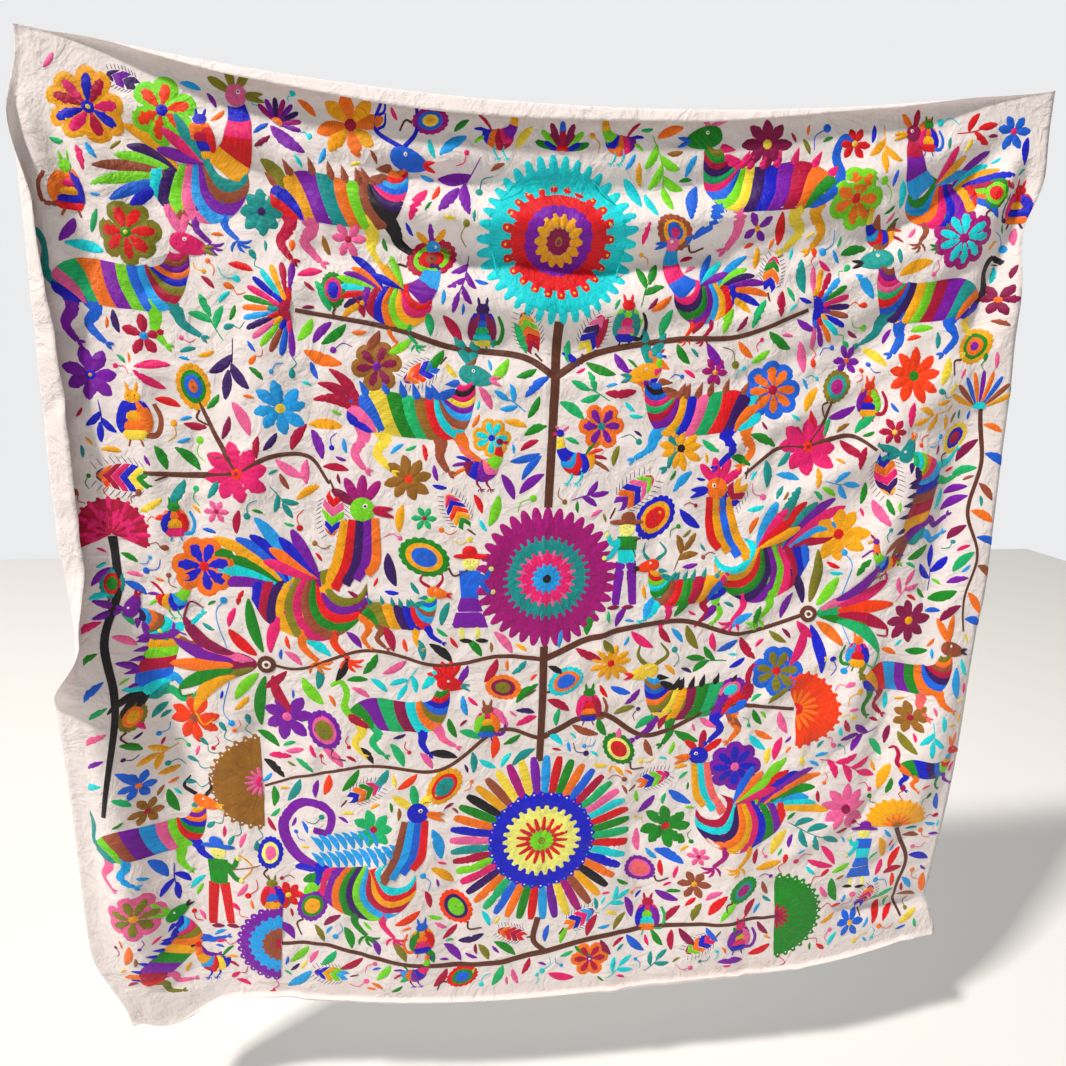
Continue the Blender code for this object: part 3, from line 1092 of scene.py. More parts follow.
BRANCHES = (
    # the trunk
    Branch(((-0.025, 0.48), (-0.03, 0.6), (-0.04, 0.86)), 0.02, leaves="nujgcv", gap=0.1, taper=0.9),
    Branch(((-0.042, 1.17), (-0.042, 1.3), (-0.045, 1.45)), 0.018, leaves="kgchte", gap=0.08, taper=0.9),
    Branch(((-0.04, 1.86), (-0.05, 1.92), (-0.02, 1.955)), 0.015, taper=0.8),
    # in pairs up the trunk
    Branch(((-0.03, 0.59), (-0.1, 0.55), (-0.24, 0.535), (-0.36, 0.5), (-0.545, 0.47)),
           0.015, leaves="gjlebc"),
    Branch(((-0.03, 0.59), (0.06, 0.54), (0.22, 0.51), (0.36, 0.5), (0.505, 0.443)), 0.015, leaves="jgcvlq"),
    Branch(((-0.04, 1.2), (-0.14, 1.19), (-0.27, 1.21), (-0.42, 1.17), (-0.56, 1.21), (-0.63, 1.2)), 0.01,
           leaves="epcgvkt"),
    Branch(((-0.04, 1.2), (0.08, 1.15), (0.26, 1.12), (0.41, 1.155), (0.56, 1.11)), 0.015, leaves="scgovh"),
    Branch(((-0.05, 1.39), (-0.14, 1.37), (-0.27, 1.46), (-0.42, 1.445), (-0.58, 1.47), (-0.66, 1.5)), 0.01,
           leaves="gpzjek"),
    Branch(((-0.04, 1.39), (0.09, 1.34), (0.21, 1.4), (0.38, 1.33), (0.55, 1.34)), 0.015, leaves="jbcgop"),
    Branch(((-0.02, 1.955), (-0.18, 1.975), (-0.37, 1.955), (-0.55, 1.9), (-0.64, 1.9)),
           0.015, leaves="cgjolv"),
    Branch(((-0.02, 1.955), (0.1, 1.93), (0.24, 1.92), (0.41, 1.905), (0.56, 1.9)), 0.015, leaves="lgcmou"),
    # round the two pink flowers
    Branch(((-0.67, 0.79), (-0.76, 0.795), (-0.85, 0.79)), 0.015, leaves="eg"),
    Branch(((-0.67, 0.79), (-0.71, 0.71), (-0.74, 0.64)), 0.012, leaves="bmcg", leaf=0.05),
    Branch(((-0.66, 0.785), (-0.6, 0.755), (-0.53, 0.755), (-0.49, 0.81)), 0.011, leaves="cp"),
    Branch(((0.53, 0.73), (0.46, 0.735), (0.39, 0.79)), 0.011, leaves="eg"),
    Branch(((0.53, 0.73), (0.56, 0.68), (0.575, 0.63)), 0.011, leaves="rv"),
    Branch(((0.53, 0.73), (0.62, 0.705), (0.68, 0.735)), 0.012, leaves="jc"),
    # up the two sides
    Branch(((-0.925, 0.92), (-0.925, 1.03), (-0.955, 1.14), (-0.945, 1.29), (-0.985, 1.53)), 0.018, "k",
           "gvutjhp", 0.055, 0.06),
    Branch(((0.93, 0.64), (0.95, 0.76), (0.935, 0.88), (0.965, 0.98), (0.945, 1.08), (0.95, 1.16)), 0.009,
           leaves="qmujbv"),
    Branch(((0.84, 1.66), (0.89, 1.76), (0.88, 1.86), (0.915, 1.95)), 0.012, leaves="brncsj"),
)

FLOWERS = charted(
    Flower,
    (-0.9, 0.12, 0.062, 9, "hcn", "nf", "w", 8), (-0.765, 0.125, 0.056, 6, "z", "n", "l", 18),
    (-0.43, 0.13, 0.06, 8, "qw", "c", "", 10), (-0.6, 0.29, 0.042, 8, "e", "d", "", 0, 0.8),
    (-0.84, 0.34, 0.054, 7, "r", "gf", "o", 12), (-0.83, 0.525, 0.04, 5, "c", "s", "", 20),
    (-0.935, 0.6, 0.052, 7, "v", "nw", "", 5), (-0.44, 0.335, 0.034, 6, "p", "c"),
    (-0.58, 0.66, 0.053, 8, "s", "f", "", 8), (-0.75, 0.985, 0.06, 7, "n", "r", "q", 15),
    (-0.855, 1.13, 0.031, 6, "g", "f"), (-0.8, 1.33, 0.056, 8, "z", "b", "", 12),
    (-0.6, 1.325, 0.056, 7, "v", "p", "", 4), (-0.39, 0.575, 0.047, 6, "m", "v", "y", 10),
    (-0.16, 0.715, 0.038, 7, "t", "n", "w", 6), (-0.33, 0.8, 0.05, 8, "y", "z", "", 12),
    (0.07, 0.69, 0.046, 6, "v", "e", "q"), (0.245, 0.735, 0.048, 9, "w", "k", "", 6),
    (0.39, 0.125, 0.05, 8, "m", "f", "", 5), (0.575, 0.115, 0.032, 6, "r", "f"),
    (0.585, 0.22, 0.056, 7, "q", "r", "l", 8), (0.92, 0.075, 0.036, 6, "u", "h"),
    (0.83, 0.29, 0.058, 9, "t", "a", "a", 4), (0.38, 0.285, 0.032, 4, "v", "w", "", 40),
    (0.44, 0.61, 0.058, 8, "q", "c", "u", 6), (0.755, 0.575, 0.058, 9, "z", "g", "", 8),
    (0.61, 0.545, 0.033, 6, "v", "q"), (0.31, 0.575, 0.03, 6, "a", "w"), (0.94, 0.41, 0.035, 6, "m", "q"),
    (0.62, 0.925, 0.066, 8, "w", "r", "", 9), (0.81, 1.13, 0.052, 8, "m", "w", "", 3),
    (0.5, 1.245, 0.056, 7, "o", "r", "u", 10), (0.11, 1.215, 0.046, 11, "w", "r", "", 3),
    (0.42, 1.485, 0.06, 8, "n", "p", "v", 4), (0.27, 1.65, 0.062, 8, "g", "r", "", 8),
    (-0.42, 1.6, 0.046, 7, "j", "c"), (0.7, 1.6, 0.062, 9, "p", "m", "", 10), (0.345, 1.8, 0.04, 6, "b", "w"),
    (0.84, 1.37, 0.04, 7, "y", "c"), (-0.92, 1.475, 0.034, 6, "u", "q"), (0.765, 1.945, 0.038, 6, "u", "w"),
    (-0.945, 1.78, 0.056, 7, "o", "w", "p", 4), (-0.62, 1.775, 0.036, 7, "r", "f"),
    (0.09, 1.985, 0.044, 6, "c", "vf", "q"), (-0.67, 0.79, 0.064, 8, "h", "zc", "", 11, 0.7),
    (0.53, 0.73, 0.066, 8, "h", "zc", "", 4, 0.7),
)


class Rays(NamedTuple):
    """One round of a fan: rays between two radii, with one thread each in turn."""

    inner: float
    outer: float
    count: int
    letters: str
    layer: int = 0
    broad: float = 0.94


@dataclass(frozen=True)
class Fan:
    """A flower seen from the side: rays that open one way from a heart."""

    across: float
    down: float
    radius: float
    heading: float
    spread: float
    rounds: tuple[Rays, ...]
    heart: str = "c"
    heart_size: float = 0.22
    buds: str = ""
    eyelet: str = ""

    def work(self, stitches: StitchWork) -> None:
        """Stitch the rounds from the rim inwards, the heart, and buds on thin stems past the rim."""
        place = Setting(self.across, self.down, self.radius)
        begin = radians(-self.heading - self.spread / 2.0)
        for row in self.rounds:
            step = self.spread / row.count
            if row.broad > 1.0:
                stitches.ring(
                    (self.across, self.down), row.inner * self.radius, 0.93 * row.outer * self.radius,
                    row.letters[0], layer=row.layer, begin=begin, sweep=radians(self.spread),
                )
            wide = radians(step) * (row.inner + 0.6 * (row.outer - row.inner)) / 2.0
            for number in range(row.count):
                angle = self.heading - self.spread / 2.0 + step * (number + 0.5)
                stitches.blade(
                    place.ray(angle, row.inner), place.ray(angle, row.outer), wide * row.broad * self.radius,
                    row.letters[number % len(row.letters)], layer=row.layer, fullness=0.5, peak=0.66,
                    blunt=0.2,
                )
                if row.outer == 1.0 and self.eyelet:
                    stitches.dot(place.ray(angle, 0.91), 0.026 * self.radius, self.eyelet, 1)
        stitches.ring(
            (self.across, self.down), 0.02 * self.radius, self.heart_size * self.radius, self.heart, layer=3,
            begin=begin, sweep=radians(self.spread),
        )
        for number, letter in enumerate(self.buds):
            angle = self.heading + self.spread * (number / max(1, len(self.buds) - 1) - 0.5) * 0.92
            root = place.ray(angle, 0.98)
            bend = place.ray(angle + 5.0, 1.14)
            stitches.stem((root, bend, place.ray(angle, 1.24)), 0.0024, letter)
            stitches.blade(
                place.ray(angle, 1.22), place.ray(angle, 1.46), 0.0068, letter, peak=0.6, fullness=0.6,
            )


FANS = (
    Fan(
        -0.555, 0.47, 0.09, 178.0, 200.0,
        (Rays(0.3, 1.0, 15, "vcwtnhgqsdplbu"), Rays(0.12, 0.48, 9, "rwnhe", 1)), "c", 0.24, "qeqeqe",
    ),
    Fan(
        0.515, 0.44, 0.084, 5.0, 190.0, (Rays(0.3, 1.0, 13, "pvqtnbdhgscw"), Rays(0.12, 0.5, 8, "urwvh", 1)),
        "n", 0.3, "zjzjz",
    ),
    Fan(
        -0.665, 1.49, 0.118, 180.0, 180.0,
        (Rays(0.3, 1.0, 17, "y", 0, 1.08), Rays(0.16, 0.66, 12, "y", 1, 1.1), Rays(0.05, 0.34, 7, "p", 2)),
        "h", 0.14, "eeeeeeeee", "0",
    ),
    Fan(
        0.555, 1.34, 0.098, 12.0, 200.0, (Rays(0.15, 1.0, 15, "z", 0, 1.05), Rays(0.1, 0.55, 9, "q", 1)), "r",
        0.16, "fpfpfp",
    ),
    Fan(
        -0.64, 1.9, 0.104, 176.0, 180.0,
        (
            Rays(0.6, 1.0, 15, "v", 0, 1.1), Rays(0.34, 0.76, 12, "s", 1, 1.05),
            Rays(0.1, 0.46, 8, "b", 2, 1.05),
        ),
        "c", 0.16, "hhhhh", "0",
    ),
    Fan(
        0.555, 1.9, 0.124, 4.0, 180.0,
        (Rays(0.36, 1.0, 17, "g", 0, 1.1), Rays(0.16, 0.7, 12, "g", 1, 1.1), Rays(0.05, 0.32, 7, "c", 2)),
        "m", 0.12, "rrrrr", "0",
    ),
    Fan(
        -0.925, 0.915, 0.078, 90.0, 230.0,
        (Rays(0.1, 1.0, 15, "ch", 0, 1.1), Rays(0.1, 0.72, 11, "hc", 1, 1.05), Rays(0.08, 0.42, 7, "c", 2)),
        "c", 0.16, "bzbzbzb",
    ),
    Fan(
        0.84, 1.655, 0.08, 92.0, 180.0, (Rays(0.2, 1.0, 13, "w", 0, 1.05), Rays(0.1, 0.5, 7, "q", 1)), "y",
        0.16, "cgcgc",
    ),
    Fan(-0.565, 0.135, 0.046, 60.0, 170.0, (Rays(0.15, 1.0, 8, "vad", 0, 1.0),), "q", 0.24, "ttt"),
    Fan(
        -0.025, 0.158, 0.056, 90.0, 170.0,
        (Rays(0.15, 1.0, 7, "glmumlg", 0, 0.9), Rays(0.1, 0.72, 5, "nmcmn", 1, 0.9)), "r", 0.24,
    ),
    Fan(0.925, 0.645, 0.085, 92.0, 150.0, (Rays(0.15, 1.0, 9, "wbuqvqubw", 0, 0.8),), "t", 0.2, "ege"),
)


@dataclass(frozen=True)
class Trumpet:
    """A bell flower seen from the side: a ring, a spray of slim leaves, and long petals that curl away."""

    across: float
    down: float
    size: float
    heading: float
    spray: str
    bell: str

    def work(self, stitches: StitchWork) -> None:
        """Stitch the cup and the spray, the petals with their curled tips, and the ring."""
        place = Setting(self.across, self.down, self.size)
        stitches.blade(
            place.ray(self.heading, 0.1), place.ray(self.heading, 0.78), 0.17 * self.size, self.bell[0],
            fullness=0.5, peak=0.55,
        )
        for number, letter in enumerate(self.spray):
            lean = 2.0 * number / (len(self.spray) - 1) - 1.0
            angle = self.heading + 112.0 * lean
            reach = 0.66 - 0.12 * sin(4.0 * number)
            stitches.blade(
                place.ray(angle, 0.14), place.ray(angle, reach), 0.062 * self.size, letter, layer=1,
                bow=0.05 * self.size * lean, fullness=0.7,
            )
        for number, letter in enumerate(self.bell):
            lean = 2.0 * number / (len(self.bell) - 1) - 1.0
            root = place.ray(self.heading + 20.0 * lean, 0.34)
            tip = place.ray(self.heading + 34.0 * lean, 1.04 - 0.06 * abs(lean))
            stitches.blade(
                root, tip, 0.075 * self.size, letter, layer=2, bow=0.1 * self.size * lean, fullness=0.6,
            )
            curl = place.ray(self.heading + 44.0 * lean, 1.02)
            end = place.ray(self.heading + 46.0 * lean, 0.88)
            stitches.stem((tip, curl, end), 0.03 * self.size, letter, layer=2, taper=0.5)
        for lean in (-62.0, 58.0):
            root = place.ray(self.heading + 0.4 * lean, 0.44)
            bend = place.ray(self.heading + 0.8 * lean, 0.74)
            tip = place.ray(self.heading + lean, 0.82)
            stitches.stem((root, bend, tip), 0.0026, "s")
            stitches.dot(tip, 0.04 * self.size, "s", 1)
        for layer, (reach, letter) in enumerate(((0.1, "x"), (0.068, "0"), (0.034, "x"))):
            stitches.dot((self.across, self.down), reach * self.size, letter, 3 + layer)


TRUMPETS = (
    Trumpet(-0.635, 1.2, 0.2, 181.0, "hgrpolgc", "mvqgw"),
    Trumpet(0.565, 1.11, 0.195, 6.0, "hnqgplod", "jczhv"),
)


@dataclass(frozen=True)
class EyeLeaf:
    """A broad leaf of nested ovals with a scalloped rim, on a short stalk."""

    across: float
    down: float
    length: float
    heading: float
    letters: str
    stalk: str = "x"

    def work(self, stitches: StitchWork) -> None:
        """Stitch the ovals from the largest to the smallest, and the stalk."""
        place = Setting(self.across, self.down, self.length)
        for layer, (reach, letter) in enumerate(zip((0.5, 0.385, 0.29, 0.17), self.letters)):
            stitches.ring(
                (self.across, self.down), 0.02 * self.length, reach * self.length, letter, layer=layer,
                scallops=18 if layer == 0 else 0, depth=0.07, squash=0.7, turn=-radians(self.heading),
            )
        foot = place.ray(self.heading + 180.0, 0.48)
        bend = place.ray(self.heading + 172.0, 0.66)
        end = place.ray(self.heading + 190.0, 0.86)
        stitches.stem((foot, bend, end), 0.005, self.stalk, layer=1, taper=0.7)


EYE_LEAVES = charted(
    EyeLeaf,
    (-0.47, 0.43, 0.07, 95, "ghn"), (-0.28, 0.115, 0.072, 10, "aufw"),
    (-0.28, 0.365, 0.105, 20, "clrb"), (0.205, 0.3, 0.085, 150, "bwuh"), (0.885, 0.2, 0.07, 75, "glr"),
    (0.895, 0.51, 0.095, 40, "wgqv"), (0.885, 0.71, 0.08, 60, "fnc"), (-0.3, 0.965, 0.115, 155, "gwu"),
    (0.195, 0.885, 0.11, 55, "nwr"), (-0.13, 1.265, 0.085, 165, "qmo"), (0.01, 1.255, 0.09, 35, "tqu"),
    (-0.52, 1.355, 0.1, 110, "vpo"), (-0.655, 1.665, 0.085, 80, "nip"), (-0.565, 1.8, 0.095, 60, "vgw"),
    (-0.935, 1.02, 0.07, 80, "erg"), (-0.92, 1.315, 0.07, 70, "oqw"), (-0.26, 1.5, 0.1, 50, "wre"),
    (0.14, 1.43, 0.095, 130, "gir"), (0.395, 1.29, 0.08, 30, "vpt"), (-0.235, 1.815, 0.1, 125, "zdl"),
    (-0.22, 2.005, 0.08, 20, "rgu"), (0.21, 1.76, 0.09, 150, "vp1"), (0.465, 1.815, 0.085, 50, "gea"),
    (-0.745, 0.62, 0.095, 100, "wguq"), (0.585, 0.6, 0.08, 60, "oea"),
)


@dataclass(frozen=True)
class Feather:
    """A leaf of coloured chevrons with fine hairs round it."""

    across: float
    down: float
    length: float
    heading: float
    letters: str
    hairs: str = "d"

    def work(self, stitches: StitchWork) -> None:
        """Stitch the chevrons, the hairs along both edges, and the stalk."""
        place = Setting(self.across, self.down, self.length)
        line = np.array([place.ray(self.heading, reach) for reach in np.linspace(-0.5, 0.5, 13)])
        t = np.linspace(0.0, 1.0, 13)
        half = 0.25 * self.length * np.sin(pi * (0.06 + 0.9 * t)) ** 0.7
        stitches.stripes(line, half, self.letters, point=0.2)
        for number in range(9):
            reach = -0.3 + 0.8 * number / 8.0
            wide = 0.25 * sin(pi * (0.5 + 0.88 * reach)) ** 0.55
            for side in (-1.0, 1.0):
                lean = self.heading + side * 52.0
                foot = Setting(*place.ray(self.heading, reach), self.length)
                root = foot.ray(self.heading + side * 90.0, wide)
                tip = Setting(*root, self.length).ray(lean, 0.16)
                stitches.stem((root, tip), 0.0018, self.hairs[number % len(self.hairs)], taper=0.6)
        foot = place.ray(self.heading, -0.48)
        end = place.ray(self.heading + 188.0, 0.72)
        stitches.stem((foot, end), 0.005, "x", taper=0.8)


FEATHERS = charted(
    Feather,
    (-0.085, 0.505, 0.085, 110, "crqlwm", "k"), (0.045, 0.505, 0.085, 65, "fndph", "k"),
    (-0.885, 0.8, 0.115, 175, "gfnhcqd"), (-0.485, 0.87, 0.095, 265, "rplnq"),
    (0.365, 0.84, 0.1, 235, "wcnhq"), (0.71, 0.785, 0.1, 285, "nqhdw"), (-0.83, 0.075, 0.06, 160, "dvd"),
    (-0.755, 0.285, 0.07, 120, "bwlg"), (-0.3, 0.585, 0.08, 205, "unzqv"),
    (-0.23, 0.87, 0.085, 120, "gwznhq"), (0.145, 0.83, 0.105, 40, "vqnplh"), (0.42, 0.375, 0.075, 80, "nqgh"),
    (-0.44, 1.51, 0.085, 25, "nqghs"), (0.225, 1.515, 0.085, 20, "qnlhv"), (0.37, 1.965, 0.085, 215, "hnqlc"),
    (0.06, 1.875, 0.085, 30, "qnhsv"), (-0.1, 1.9, 0.075, 160, "rcrqc"), (-0.525, 1.985, 0.085, 170, "slwnv"),
    (0.8, 1.875, 0.085, 80, "nchqv"),
)


class Crown(Enum):
    """What a beast wears on its head."""

    EARS = "two long ears"
    ANTLERS = "branched antlers"
    HORNS = "two curved horns"
    COMB = "a comb"


class Tail(Enum):
    """A beast's tail."""

    CURL = "an S-shaped curl"
    PLUME = "a raised plume"
    SHORT = "a short tuft"


@dataclass(frozen=True)
class Beast:
    """A striped four-legged figure. Its size is its body's length."""

    across: float
    down: float
    size: float
    facing: int
    stripes: str
    head: str
    crown: Crown
    crown_thread: str
    muzzle: str
    legs: str
    tail: Tail
    tail_thread: str
    spikes: str = ""
    turn: float = 0.0

    def work(self, stitches: StitchWork) -> None:
        """Stitch the legs, tail, spikes, striped body and head, in that order."""
        place = Setting(self.across, self.down, self.size, self.facing, self.turn)
        self.work_legs(stitches, place)
        self.work_tail(stitches, place)
        body = curve_through(
            place.path(
                ((-0.54, -0.04), (-0.32, 0.06), (0.02, 0.02), (0.28, 0.02), (0.42, 0.15), (0.48, 0.36))
            ),
            40,
        )
        share = np.linspace(0.0, 1.0, 40)
        half = self.size * np.interp(
            share, (0.0, 0.04, 0.2, 0.45, 0.62, 0.8, 1.0), (0.06, 0.13, 0.19, 0.175, 0.195, 0.11, 0.06),
        )
        if self.spikes:
            self.work_spikes(stitches, body, half)
        stitches.stripes(body, half, self.stripes, lean=0.05 * self.facing, arch=-0.05, layer=1, grow=0.97)
        self.work_head(stitches, place)

    def work_legs(self, stitches: StitchWork, place: Setting) -> None:
        """Stitch four legs, broad at the thigh and bent at the hock, with small toes."""
        for path, letter in zip(STRIDE, self.legs):
            stitches.stem(place.path(path), 0.15 * self.size, letter, taper=0.34)
            foot = path[-1]
            for angle in (-8.0, -48.0):
                stitches.blade(
                    place.at(*foot), place.toward(*foot, angle, 0.075), 0.016 * self.size, letter, layer=1,
                )

    def work_tail(self, stitches: StitchWork, place: Setting) -> None:
        """Stitch the tail."""
        if self.tail is Tail.CURL:
            path = ((-0.5, 0.02), (-0.6, 0.14), (-0.57, 0.31), (-0.63, 0.44), (-0.74, 0.4))
            stitches.stem(place.path(path), 0.1 * self.size, self.tail_thread, taper=0.5)
        elif self.tail is Tail.PLUME:
            for lift, reach in ((0.3, -0.8), (0.16, -0.84), (0.42, -0.7)):
                stitches.blade(
                    place.at(-0.46, 0.05), place.at(reach, lift), 0.05 * self.size, self.tail_thread,
                    bow=0.06 * self.size * self.facing,
                )
        else:
            stitches.blade(
                place.at(-0.47, 0.05), place.at(-0.62, 0.32), 0.062 * self.size, self.tail_thread,
                bow=0.05 * self.size * self.facing,
            )

    def work_spikes(self, stitches: StitchWork, body: np.ndarray, half: np.ndarray) -> None:
        """Stitch a row of points along the back, leaning towards the tail."""
        outwards = sideways(body)
        if outwards[10, 1] > 0.0:
            outwards = -outwards
        for number, index in enumerate(range(4, 38, 3)):
            root = body[index] + outwards[index] * half[index] * 0.8
            back = body[index - 3] - body[index]
            tip = body[index] + outwards[index] * (half[index] + 0.115 * self.size) + 0.45 * back
            letter = self.spikes[number % len(self.spikes)]
            stitches.blade(
                tuple(root), tuple(tip), 0.036 * self.size, letter, peak=0.25, fullness=0.9, blunt=0.03,
            )

    def work_head(self, stitches: StitchWork, place: Setting) -> None:
        """Stitch the crown, the head, the muzzle and the eye."""
        thread = self.crown_thread
        size = self.size
        if self.crown is Crown.EARS:
            for tip in ((0.36, 0.74), (0.56, 0.78)):
                stitches.blade(place.at(0.5, 0.45), place.at(*tip), 0.048 * size, thread, fullness=0.7)
        elif self.crown is Crown.ANTLERS:
            for lean in (-0.2, 0.1):
                path = ((0.5, 0.46), (0.5 + 1.1 * lean, 0.6), (0.52 + 0.9 * lean, 0.82))
                stitches.stem(place.path(path), 0.042 * size, thread, taper=0.6)
                for height in (0.6, 0.7):
                    x = 0.5 + lean
                    stitches.stem(
                        place.path(((x, height), (x + 0.055, height + 0.03), (x + 0.065, height + 0.12))),
                        0.03 * size, thread, taper=0.5,
                    )
        elif self.crown is Crown.HORNS:
            for lean in (-0.16, 0.1):
                path = ((0.5 + lean * 0.4, 0.46), (0.5 + lean * 1.2, 0.57), (0.52 + lean * 0.8, 0.7))
                stitches.stem(place.path(path), 0.06 * size, thread, taper=0.3)
        else:
            for number in range(5):
                angle = 52.0 + 26.0 * number
                stitches.blade(
                    place.at(0.51, 0.42), place.toward(0.51, 0.42, angle, 0.24), 0.042 * size, thread,
                    fullness=0.6,
                )
        stitches.blade(
            place.at(0.4, 0.42), place.at(0.69, 0.34), 0.084 * size, self.head, layer=2, fullness=0.6,
            peak=0.4, blunt=0.2,
        )
        for rise in (0.01, -0.06):
            stitches.blade(
                place.at(0.64, 0.355), place.at(0.76, 0.36 + rise), 0.019 * size, self.muzzle, layer=2,
                peak=0.4,
            )
        stitches.dot(place.at(0.52, 0.42), 0.02 * size, "0", 3)
        stitches.dot(place.at(0.52, 0.42), 0.011 * size, "k", 4)


STRIDE = (
    ((-0.46, 0.02), (-0.42, -0.15), (-0.5, -0.29), (-0.42, -0.43)),
    ((-0.31, -0.04), (-0.24, -0.17), (-0.31, -0.29), (-0.19, -0.44)),
    ((0.2, -0.05), (0.24, -0.2), (0.23, -0.32), (0.3, -0.45)),
    ((0.32, -0.04), (0.42, -0.17), (0.46, -0.27), (0.6, -0.37)),
)

BEASTS = charted(
    Beast,
    (-0.86, 0.44, 0.225, 1, "npjqvlusconqvbh", "h", Crown.EARS, "p", "o", "vule", Tail.CURL, "e"),
    (-0.45, 0.275, 0.235, 1, "rnwveqlbkdhusrq", "u", Crown.ANTLERS, "n", "r", "cpfk", Tail.SHORT, "o", "b"),
    (0.395, 0.215, 0.25, -1, "ugqcvndfluhjdcgo", "g", Crown.ANTLERS, "p", "u", "wfpu", Tail.CURL, "u", "h"),
    (0.775, 0.425, 0.23, -1, "nqevclwdurjphvb", "e", Crown.EARS, "b", "k", "fuue", Tail.CURL, "k"),
    (-0.32, 0.68, 0.235, 1, "npufgjyrtbsvfhkh", "e", Crown.EARS, "e", "p", "pfbq", Tail.PLUME, "c", "u"),
    (0.285, 0.67, 0.235, -1, "tqdrjpnwvcjhuku", "w", Crown.EARS, "e", "e", "qnes", Tail.SHORT, "t", "b"),
    (-0.355, 1.1, 0.15, 1, "qgowdnrsbtul", "q", Crown.HORNS, "c", "r", "qbwn", Tail.PLUME, "m", "e"),
    (0.275, 1.055, 0.165, -1, "nuwcgrbgtlrw", "z", Crown.HORNS, "e", "k", "lcht", Tail.SHORT, "h", "e"),
    (0.31, 1.325, 0.22, -1, "urvjgmwfoqnuys", "f", Crown.HORNS, "o", "r", "qngv", Tail.CURL, "c", "k"),
    (-0.355, 1.33, 0.2, 1, "cgvjmtqounrg", "r", Crown.COMB, "r", "e", "fjnp", Tail.CURL, "l"),
    (0.81, 1.275, 0.2, 1, "nwrsvgqudcbqo", "b", Crown.EARS, "q", "k", "gc1q", Tail.CURL, "o"),
    (-0.9, 1.615, 0.2, 1, "elbvsplrgnqvw", "q", Crown.HORNS, "k", "w", "psln", Tail.CURL, "e"),
    (-0.855, 1.185, 0.185, 1, "etuclwvtbqsd", "v", Crown.EARS, "v", "c", "jsbt", Tail.PLUME, "k", "v", 78),
    (0.815, 0.845, 0.19, 1, "evwcbnshqltj", "e", Crown.EARS, "e", "q", "svjt", Tail.PLUME, "b", "d", 84),
    (-0.88, 1.915, 0.17, 1, "rcvgwqohsn", "g", Crown.EARS, "l", "k", "opvu", Tail.SHORT, "q", "n", 48),
    (0.89, 1.5, 0.12, 1, "qgndulrws", "r", Crown.EARS, "q", "w", "nqgv", Tail.CURL, "c"),
)


LARGE_BIRD = 0.28


